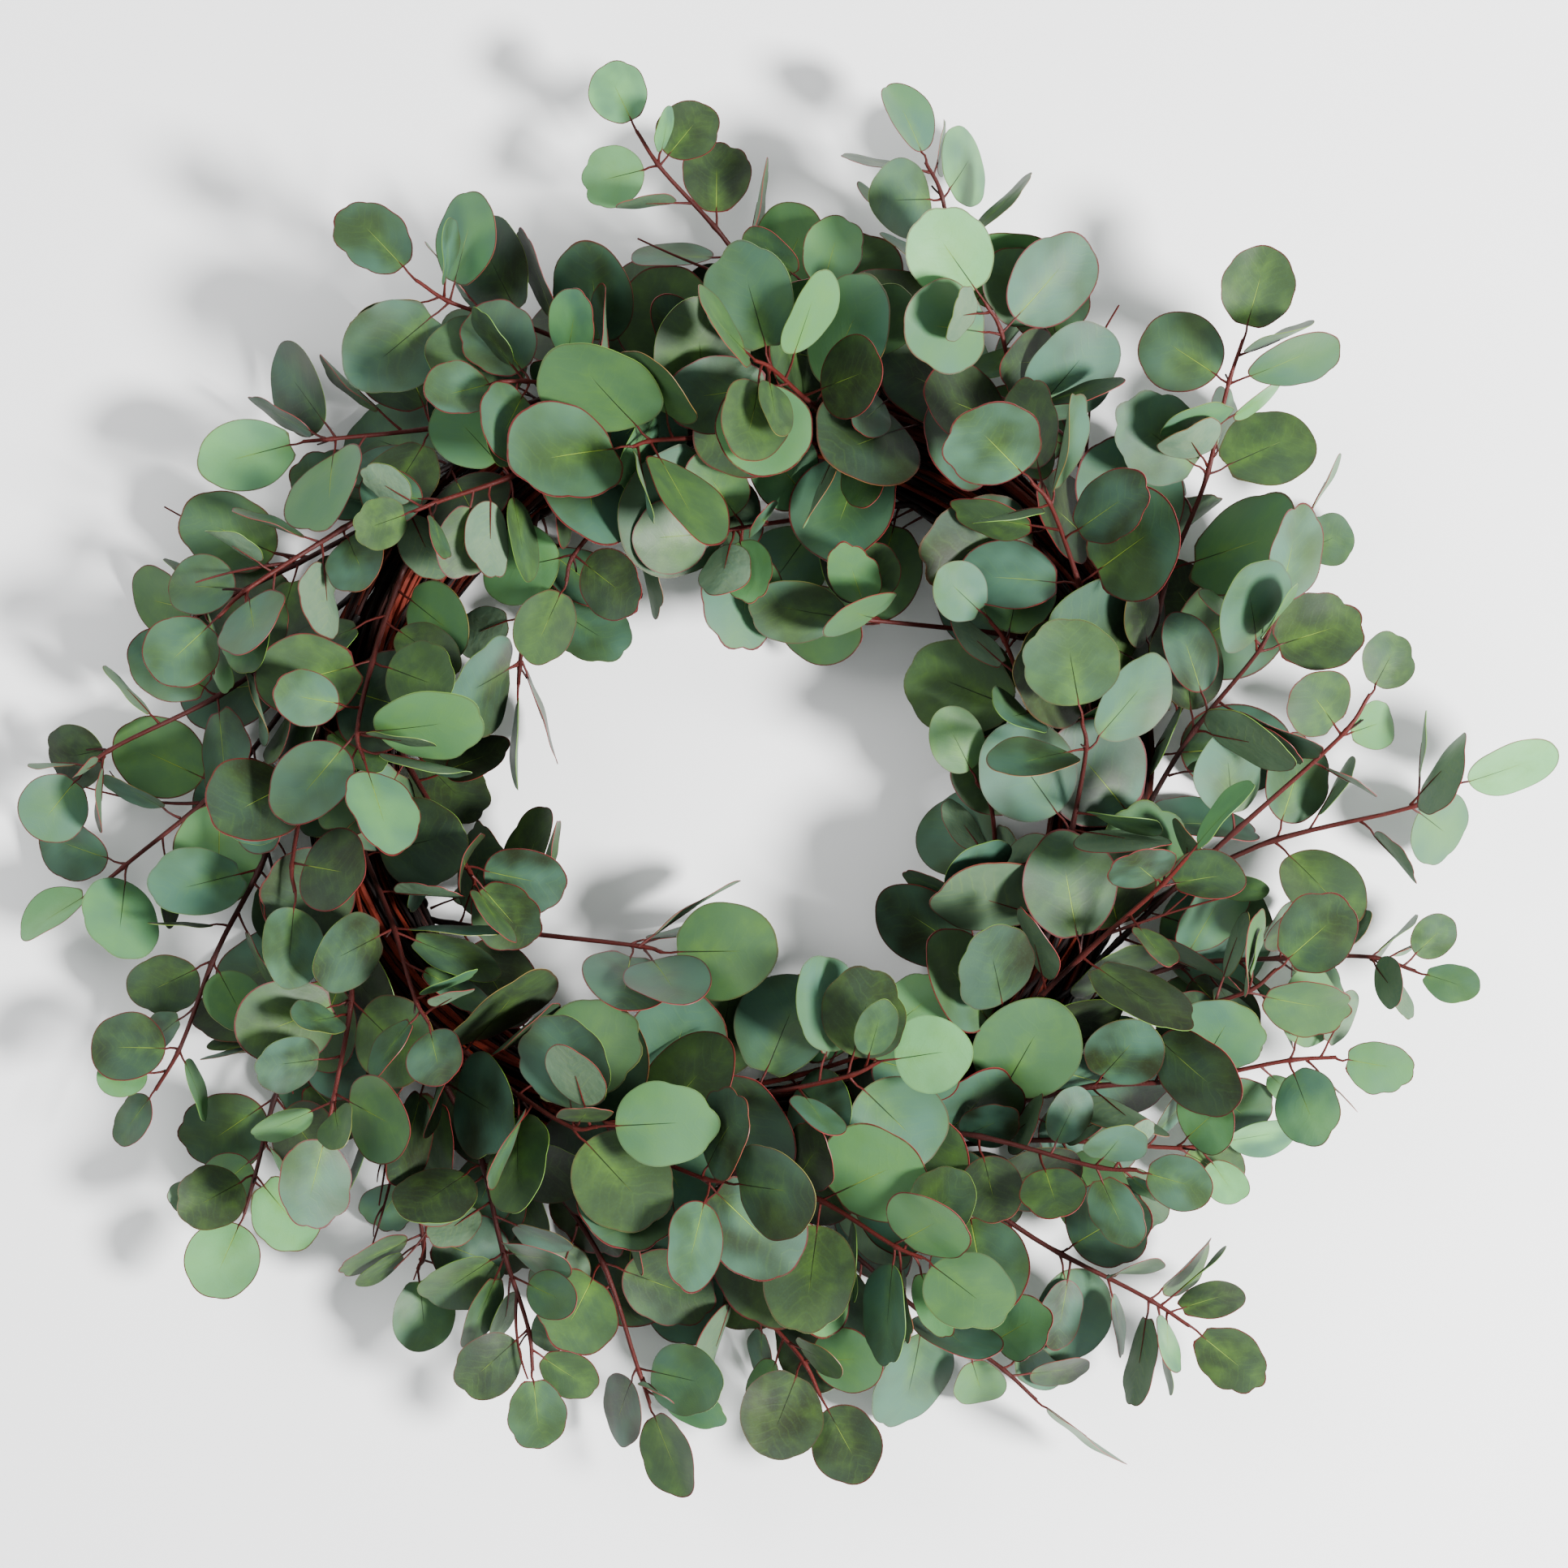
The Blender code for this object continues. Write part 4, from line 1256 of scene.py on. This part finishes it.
def knotty(thick, steps, draw):
    """Radii along a twig: thinner at its ends, with small knots."""
    phase = any_phase(draw)
    return [thick * min(1.0, 0.5 + 1.4 * min(step, steps - step) / steps)
            * (1 + 0.16 * math.sin(1.7 * step + phase) ** 8) for step in range(steps + 1)]


def random_tone(draw):
    return draw.random(), draw.random(), draw.random()


def knotty_twig(path, thick, draw):
    """A twig of the ring along a path, with its knots."""
    radii = knotty(thick, len(path) - 1, draw)
    return bend(TWIG_ROUND, "twig", np.array(path), radii, random_tone(draw), twig_bark())


def tapered(thick, count):
    """Radii of a shoot or a loose end, from its foot to its tip."""
    return [thick * (1 - TAPER * step) for step in range(count)]


def ring_twig(number, slot, start, arc, thick, draw):
    """One twig of a strand, wound round the ring from a clock angle."""
    reach, turn = slot
    turns = bpy.context.scene.wreath_ring.turns
    sway = [any_phase(draw) for _ in range(3)]
    steps = max(8, round(TWIG_STEPS * arc / 360))
    path = []
    for step in range(steps + 1):
        clock = start + arc * step / steps
        wave = math.radians(clock)
        away = reach + 1.0 * math.sin(4 * wave + sway[0]) + 0.7 * math.sin(13 * wave + sway[2])
        angle = math.radians(turn + turns * clock) + 0.2 * math.sin(5 * wave + sway[1])
        point = strand_centre(number, clock)
        point += (polar(clock, 1, 0) * math.cos(angle) + Vector((0, 0, math.sin(angle)))) * away
        point.z = max(point.z, thick * TWIG_REST)
        path.append(point)
    return knotty_twig(path, thick, draw)


def wandering_twig(draw, thick):
    """A thin twig over the bundle with both its ends tucked in, or nothing if it meets a stem."""
    start, arc = draw.uniform(0, 360), draw.uniform(50, 130)
    side, drift = draw.uniform(-40, 200), draw.uniform(-110, 110)
    steps = max(8, round(TWIG_STEPS * arc / 360))
    path = []
    for step in range(steps + 1):
        share = step / steps
        tuck = 7 * (2 * share - 1) ** 6
        reach = BUNDLE_RADIUS - 0.9 - tuck + 0.6 * math.sin(9 * share + side)
        path.append(ring_point(start + arc * share, side + drift * share, reach))
        path[-1].z = max(path[-1].z, thick * TWIG_REST)
    tube = thin_tube(path, thick)
    if any(clash(tube, stem) for stem in layout().stems):
        return None
    layout().twigs.append(tube)
    return knotty_twig(path, thick, draw)


def thin_tube(path, radius):
    """A three-sided tube along a path, for finding out whether a twig there would cross anything."""
    points = []
    for i, point in enumerate(path):
        along = (path[min(i + 1, len(path) - 1)] - path[max(i - 1, 0)]).normalized()
        beside = along.orthogonal().normalized()
        above = along.cross(beside)
        points += [point + (beside * math.cos(turn) + above * math.sin(turn)) * radius
                   for turn in (0.0, 2.094, 4.189)]  # thirds of a turn
    return shape_of(points, tube_faces(len(path), 3, False))


def is_free(shape):
    """Whether a shape crosses no stem and no leaf."""
    leaves = [full for shapes in layout().shapes for full, _ in shapes]
    return not any(clash(shape, other) for other in layout().stems + leaves)


def loose_end(number, count, draw, thick):
    """A twig end that stands out of the ring where it meets no leaf, or nothing if it finds no place."""
    for _ in range(END_TRIES):
        clock = 360 * number / count + draw.uniform(-9, 9)
        side = draw.uniform(-25, 205)
        way = draw.choice((-1, 1, 1))
        long, lift = draw.uniform(8, 26), draw.uniform(2, 11)
        veer = draw.uniform(-35, 35)
        path = []
        for step in range(END_STEPS + 1):
            share = step / END_STEPS
            reach = BUNDLE_RADIUS - 3.5 + lift * share**2
            path.append(ring_point(clock + way * long * share, side + veer * share, reach))
        if path[-1].z > 3 and is_free(thin_tube(path, thick)):
            radii = tapered(thick, len(path))
            return bend(TWIG_ROUND, "loose_end", np.array(path), radii, random_tone(draw), twig_bark())
    return None


def shoot_path(start, along, long, draw):
    """A slightly bent way from a place on a stem, veering off to one side of it."""
    veer = along.cross(facing_at(start)).normalized() * draw.choice((-1, 1)) * draw.uniform(0.35, 0.75)
    rise = Vector((0, 0, draw.uniform(-0.1, 0.3)))
    bow = along.cross(Vector((0, 0, 1))) * draw.uniform(-0.5, 0.5)
    way = (along + veer + rise).normalized()
    return [start + (way * share + bow * share**2) * long for share in (step / 8 for step in range(9))]


def bare_shoot(draw):
    """A thin shoot without leaves that branches off a stem, forked now and then, or nothing."""
    number = draw.randrange(len(SPRAYS))
    route = layout().routes[number]
    place = draw.uniform(1.2, len(route) - 2.2)
    start = route[int(place)].lerp(route[int(place) + 1], place % 1)
    along = (route[int(place) + 1] - route[int(place)]).normalized()
    long = draw.uniform(*SHOOT_LONG)
    paths = [shoot_path(start, along, long, draw)]
    if draw.random() < SHOOT_FORKED:
        fork = draw.choice((4, 5))
        way = (paths[0][fork] - paths[0][fork - 1]).normalized()
        paths.append(shoot_path(paths[0][fork], way, long * draw.uniform(*FORK_LONG), draw))
    for path in paths:
        end = path[-1]
        if end.z < FLOOR_ROOM or not SHOOT_REACH[0] < math.hypot(end.x, end.y) < SHOOT_REACH[1]:
            return []
        if not is_free(thin_tube(path[1:], SHOOT_RADIUS)):
            return []
    return [bend(STALK_ROUND, "shoot", np.array(path), tapered(thick, len(path)), random_tone(draw),
                 stem_bark(), age=(0.4, 0.9))
            for path, thick in zip(paths, (SHOOT_RADIUS, SHOOT_RADIUS * 0.7))]


def bowed_twig(draw):
    """A thin twig that bows out of the ring and back into it, or nothing if something is in its way."""
    start, arc, side = draw.uniform(0, 360), draw.uniform(25, 60), draw.uniform(-20, 60)
    bow = draw.uniform(18, 60)
    path = []
    for step in range(BOW_STEPS + 1):
        share = step / BOW_STEPS
        reach = BUNDLE_RADIUS - 2 + bow * math.sin(math.pi * share) ** 1.3
        path.append(ring_point(start + arc * share, side, reach))
    thick = draw.uniform(0.7, 1.0)
    if min(point.z for point in path) < FLOOR_ROOM or not is_free(thin_tube(path, thick)):
        return None
    return knotty_twig(path, thick, draw)


class WREATH_OT_twig_ring(bpy.types.Operator):
    """Winds seven strands of thin twigs into the ring"""

    bl_idname = "wreath.twig_ring"
    bl_label = "Ring of twigs"

    def execute(self, context):
        ring = context.scene.wreath_ring
        for number in range(OUTER_STRANDS + 1):
            draw = random.Random(RING_SEED + number)
            radius = STRAND_RADIUS if number else MIDDLE_RADIUS
            twigs = []
            for slot in twig_slots(ring.slots, radius, draw):
                start, arc = draw.uniform(0, 360), draw.uniform(*TWIG_ARC)
                rest = (start + arc - TWIG_OVERLAP, 360 + 2 * TWIG_OVERLAP - arc)
                for begin, length in ((start, arc), rest):
                    thick = ring.twig_radius / MM * draw.uniform(*BUNDLE_TWIGS)
                    twigs.append(ring_twig(number, slot, begin, length, thick, draw))
            piece = join(twigs, f"twig_bundle_{number + 1}", 50)
            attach(piece, "root")
            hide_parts(f"twig_strand_{number + 1}")
        return {"FINISHED"}


class WREATH_OT_wandering_twigs(bpy.types.Operator):
    """Runs thin twigs over the bundle from strand to strand"""

    bl_idname = "wreath.wandering_twigs"
    bl_label = "Wandering twigs"

    def execute(self, context):
        ring = context.scene.wreath_ring
        draw = random.Random(WANDERING_SEED)
        twigs = []
        while len(twigs) < ring.wandering:
            twig = wandering_twig(draw, ring.twig_radius / MM * draw.uniform(*THIN_TWIGS))
            if twig:
                twigs.append(twig)
        piece = join(twigs, "wandering_twigs", 50)
        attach(piece, "root")
        return {"FINISHED"}


class WREATH_OT_loose_ends(bpy.types.Operator):
    """Lets some thin twig ends stand out of the ring"""

    bl_idname = "wreath.loose_ends"
    bl_label = "Loose twig ends"

    def execute(self, context):
        ring = context.scene.wreath_ring
        draw = random.Random(LOOSE_SEED)
        ends = []
        for number in range(ring.loose_ends):
            thick = ring.twig_radius / MM * draw.uniform(*THIN_TWIGS)
            end = loose_end(number, ring.loose_ends, draw, thick)
            if end:
                ends.append(end)
        bows = []
        for _ in range(BOW_TRIES):
            if len(bows) < ring.bows:
                bows += [twig for twig in [bowed_twig(draw)] if twig]
        piece = join(ends + bows, "loose_twig_ends", 50)
        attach(piece, "root")
        return {"FINISHED"}


class WREATH_OT_bare_shoots(bpy.types.Operator):
    """Lets thin shoots without leaves branch off some stems"""

    bl_idname = "wreath.bare_shoots"
    bl_label = "Bare shoots"

    def execute(self, context):
        draw = random.Random(SHOOT_SEED)
        shoots = []
        count = 0
        for _ in range(SHOOT_TRIES):
            if count < context.scene.wreath_stems.shoots:
                made = bare_shoot(draw)
                count += bool(made)
                shoots += made
        piece = join(shoots, "bare_shoots", 60)
        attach(piece, "root")
        return {"FINISHED"}


def stem_places(stretches):
    """Where along its route, counted in points, a stem has its rings."""
    return [stretch + part for stretch in range(stretches) for part in STEM_RINGS] + [float(stretches)]


def stem_pieces(number, draw):
    """A stem from its tucked-in end to its tip, thicker at its leaves, and the stubs of lost shoots."""
    look = bpy.context.scene.wreath_stems
    route = layout().routes[number]
    back = (route[0] - route[1]).normalized()
    clock = math.degrees(math.atan2(route[0].y, route[0].x))
    inward = (ring_point(clock, 0, 0) - route[0]).normalized()
    points = [route[0] + back * 18 + inward * 5, *route]
    places = stem_places(len(points) - 1)
    path = smooth_path([np.array(point) for point in points], places)
    shares = [-0.1, *stem_shares(len(route) - 2)]
    radii = []
    for place in places:
        radius = stem_radius(np.interp(place, range(len(shares)), shares)) * look.slimness
        near = min(abs(place - joint - NODE_SHARE) for joint in range(2, len(points) - 1))
        radii.append(radius * (1 + look.swelling * math.exp(-((near / 0.06) ** 2))))
    # The bark turns from old at the root to fresh towards the tip: partly the bark's age, partly painted
    # shade where the stem lies in the ring and under the leaves.
    age = (draw.uniform(-0.3, 0.2), draw.uniform(0.5, 1.05))
    made = [bend(STEM_ROUND, "stem", path, radii, random_tone(draw), stem_bark(), age=age)]
    for joint in range(2, len(points) - 1):
        if draw.random() < STUB_SHARE:
            made.append(stub(path, places.index(joint + NODE_SHARE), draw))
    return made


def stub(path, at, draw):
    """The short dry stub of a shoot that broke off beside a pair of leaves."""
    along = path[at + 1] - path[at]
    along /= np.linalg.norm(along)
    off = np.cross(along, [draw.uniform(-1, 1) for _ in range(3)])
    off /= np.linalg.norm(off)
    long = draw.uniform(3.5, 8)
    steps = np.linspace(0, 1, 5)[:, None]
    curve = path[at] + off * steps * long + along * steps**1.5 * long * draw.uniform(0.3, 1.2)
    return bend(STALK_ROUND, "stub", curve, [0.75, 0.6, 0.5, 0.5, 0.42], random_tone(draw), stem_bark(),
                age=(0.35, 0.1))


def stalk_piece(leaf, draw):
    """A leaf's stalk, and the midrib that it runs on into under the blade."""
    thick = bpy.context.scene.wreath_stems.stalk_radius / MM
    sway, lift = draw.uniform(-0.8, 0.8), draw.uniform(-0.5, 0.8)
    ends = ((0.0, 0.0, 0.0, 1.15), (0.3, sway * 0.8, lift * 0.8, 0.85), (0.65, sway, lift, 0.75),
            (1.0, 0.0, -0.05, 0.72))
    path = [leaf.place(across, leaf.petiole * along, over) for along, across, over, _ in ends]
    under = ((0.10, -0.28, 0.62), (0.28, -0.42, 0.42), (0.5, -0.40, 0.16))
    path += [leaf.place(0.0, leaf.petiole + leaf.length * along, over) for along, over, _ in under]
    radii = [thick * end[-1] for end in ends + under]
    return bend(STALK_ROUND, "stalk", np.array(path), radii, random_tone(draw), stem_bark(),
                age=(0.7, 1.0))


class WREATH_OT_stems(bpy.types.Operator):
    """Grows the stems of all sprays, with the stalks of their leaves"""

    bl_idname = "wreath.stems"
    bl_label = "Stems and stalks"

    def execute(self, context):
        for number, leaves in enumerate(sprigs()):
            draw = random.Random(STEM_SEED + number)
            parts = stem_pieces(number, draw) + [stalk_piece(sprig.leaf, draw) for sprig in leaves]
            piece = join(parts, f"stem_{number + 1:02d}", 60)
            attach(piece, "root")
            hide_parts(f"spray_{number + 1:02d}")
        return {"FINISHED"}


class WREATH_OT_leaves(bpy.types.Operator):
    """Shapes every leaf from one blank and sets it on its stalk"""

    bl_idname = "wreath.leaves"
    bl_label = "Leaves"

    def execute(self, context):
        look = context.scene.wreath_leaves
        taken = [*layout().stems, *layout().twigs, layout().ring]
        waiting = [full for shapes in layout().shapes for full, _ in shapes]
        for number, leaves in enumerate(sprigs()):
            draw = random.Random(LEAF_SEED + number)
            youth = draw.uniform(-0.12, 0.12)
            blades = []
            for leaf, share in leaves:
                waiting.pop(0)
                points, shape = clear_blade(leaf, look, draw, taken + waiting)
                taken.append(shape)
                blade = copy_of(leaf_blank(), "leaf", points)
                # The tone rises from a stem's root to its tip, so lower leaves get the deep green: partly
                # the leaves' age, partly painted shade, for the lower leaves lie under the others.
                pale = 0.07 + 0.38 * share + youth + draw.uniform(-0.36 + 0.2 * share, 0.42)
                tone = (min(max(pale, 0.0), 1.0), draw.random(), draw.random())
                mark(blade.data, "tone", np.tile(tone, (len(blade.data.vertices), 1)))
                blades.append(blade)
            piece = join(blades, f"leaves_{number + 1:02d}", 55)
            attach(piece, "root")
            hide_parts(f"spray_{number + 1:02d}")
        return {"FINISHED"}


def area_light(name, place, target, size, power):
    """A round, soft light that shines at a target."""
    deselect()
    bpy.ops.object.light_add(type="AREA", location=place)
    light = bpy.context.object
    light.name = name
    light.data.shape = "DISK"
    light.data.size = size
    light.data.energy = power
    light.rotation_euler = (Vector(target) - Vector(place)).to_track_quat("-Z", "Y").to_euler()


def floor_finish(colour):
    """Matt paper, very slightly uneven."""
    tree = Tree("floor_paper")
    coordinates = tree.nodes.new("ShaderNodeTexCoord").outputs["Object"]
    mottle = tree.noise(coordinates, 3.0, 2.0)
    spots = tuple(c * FLOOR_MOTTLE for c in colour)
    return tree.finish(tree.mix(tree.ramp(mottle, 0.3, 0.7), colour, spots), 0.9)


class WREATH_OT_stage(bpy.types.Operator):
    """Sets up the floor, the lights and the camera over the wreath"""

    bl_idname = "wreath.stage"
    bl_label = "Floor, lights and camera"

    def execute(self, context):
        stage = context.scene.wreath_stage
        deselect()
        bpy.ops.mesh.primitive_plane_add(size=FLOOR_SIZE, location=(0, 0, 0))
        floor = context.object
        floor.name = "floor"
        floor.data.materials.append(floor_finish(stage.floor[:]))

        world = bpy.data.worlds.new("pale_room")
        world.use_nodes = True
        background = world.node_tree.nodes["Background"]
        background.inputs["Color"].default_value = ROOM_TINT
        background.inputs["Strength"].default_value = ROOM_LIGHT
        context.scene.world = world
        area_light("key_light", KEY_PLACE, LIT_PLACE, KEY_SIZE, stage.key)
        area_light("fill_light", FILL_PLACE, LIT_PLACE, FILL_SIZE, stage.fill)

        bpy.ops.object.camera_add(location=(*CAMERA_PLACE, stage.camera_height), rotation=(0, 0, 0))
        camera = context.object
        camera.name = "camera"
        camera.data.sensor_width = SENSOR_WIDTH
        camera.data.lens = SENSOR_WIDTH * (stage.camera_height - LEAF_HEIGHT) / stage.seen_width
        context.scene.camera = camera
        return {"FINISHED"}


class WREATH_PT_sidebar(bpy.types.Panel):
    """Lists the wreath's pieces in the 3D view's sidebar"""

    bl_label = "Eucalyptus wreath"
    bl_space_type = "VIEW_3D"
    bl_region_type = "UI"
    bl_category = "Wreath"

    def draw(self, context):
        for group in (context.scene.wreath_ring, context.scene.wreath_stems, context.scene.wreath_leaves,
                      context.scene.wreath_stage):
            box = self.layout.box()
            for name in group.__annotations__:
                box.prop(group, name)
        for operator in OPERATORS:
            self.layout.operator(operator.bl_idname)


OPERATORS = (WREATH_OT_twig_ring, WREATH_OT_wandering_twigs, WREATH_OT_stems, WREATH_OT_leaves,
             WREATH_OT_bare_shoots, WREATH_OT_loose_ends, WREATH_OT_stage)
CLASSES = (LeafLook, StemLook, RingLook, StageLook, *OPERATORS, WREATH_PT_sidebar)


def register():
    for each in CLASSES:
        bpy.utils.register_class(each)
    bpy.types.Scene.wreath_leaves = PointerProperty(type=LeafLook)
    bpy.types.Scene.wreath_stems = PointerProperty(type=StemLook)
    bpy.types.Scene.wreath_ring = PointerProperty(type=RingLook)
    bpy.types.Scene.wreath_stage = PointerProperty(type=StageLook)


def unregister():
    for name in ("wreath_leaves", "wreath_stems", "wreath_ring", "wreath_stage"):
        delattr(bpy.types.Scene, name)
    for each in reversed(CLASSES):
        bpy.utils.unregister_class(each)


def main():
    register()
    bpy.ops.wreath.twig_ring()
    bpy.ops.wreath.wandering_twigs()
    bpy.ops.wreath.stems()
    bpy.ops.wreath.leaves()
    bpy.ops.wreath.bare_shoots()
    bpy.ops.wreath.loose_ends()
    bpy.ops.wreath.stage()


if __name__ == "__main__":
    main()
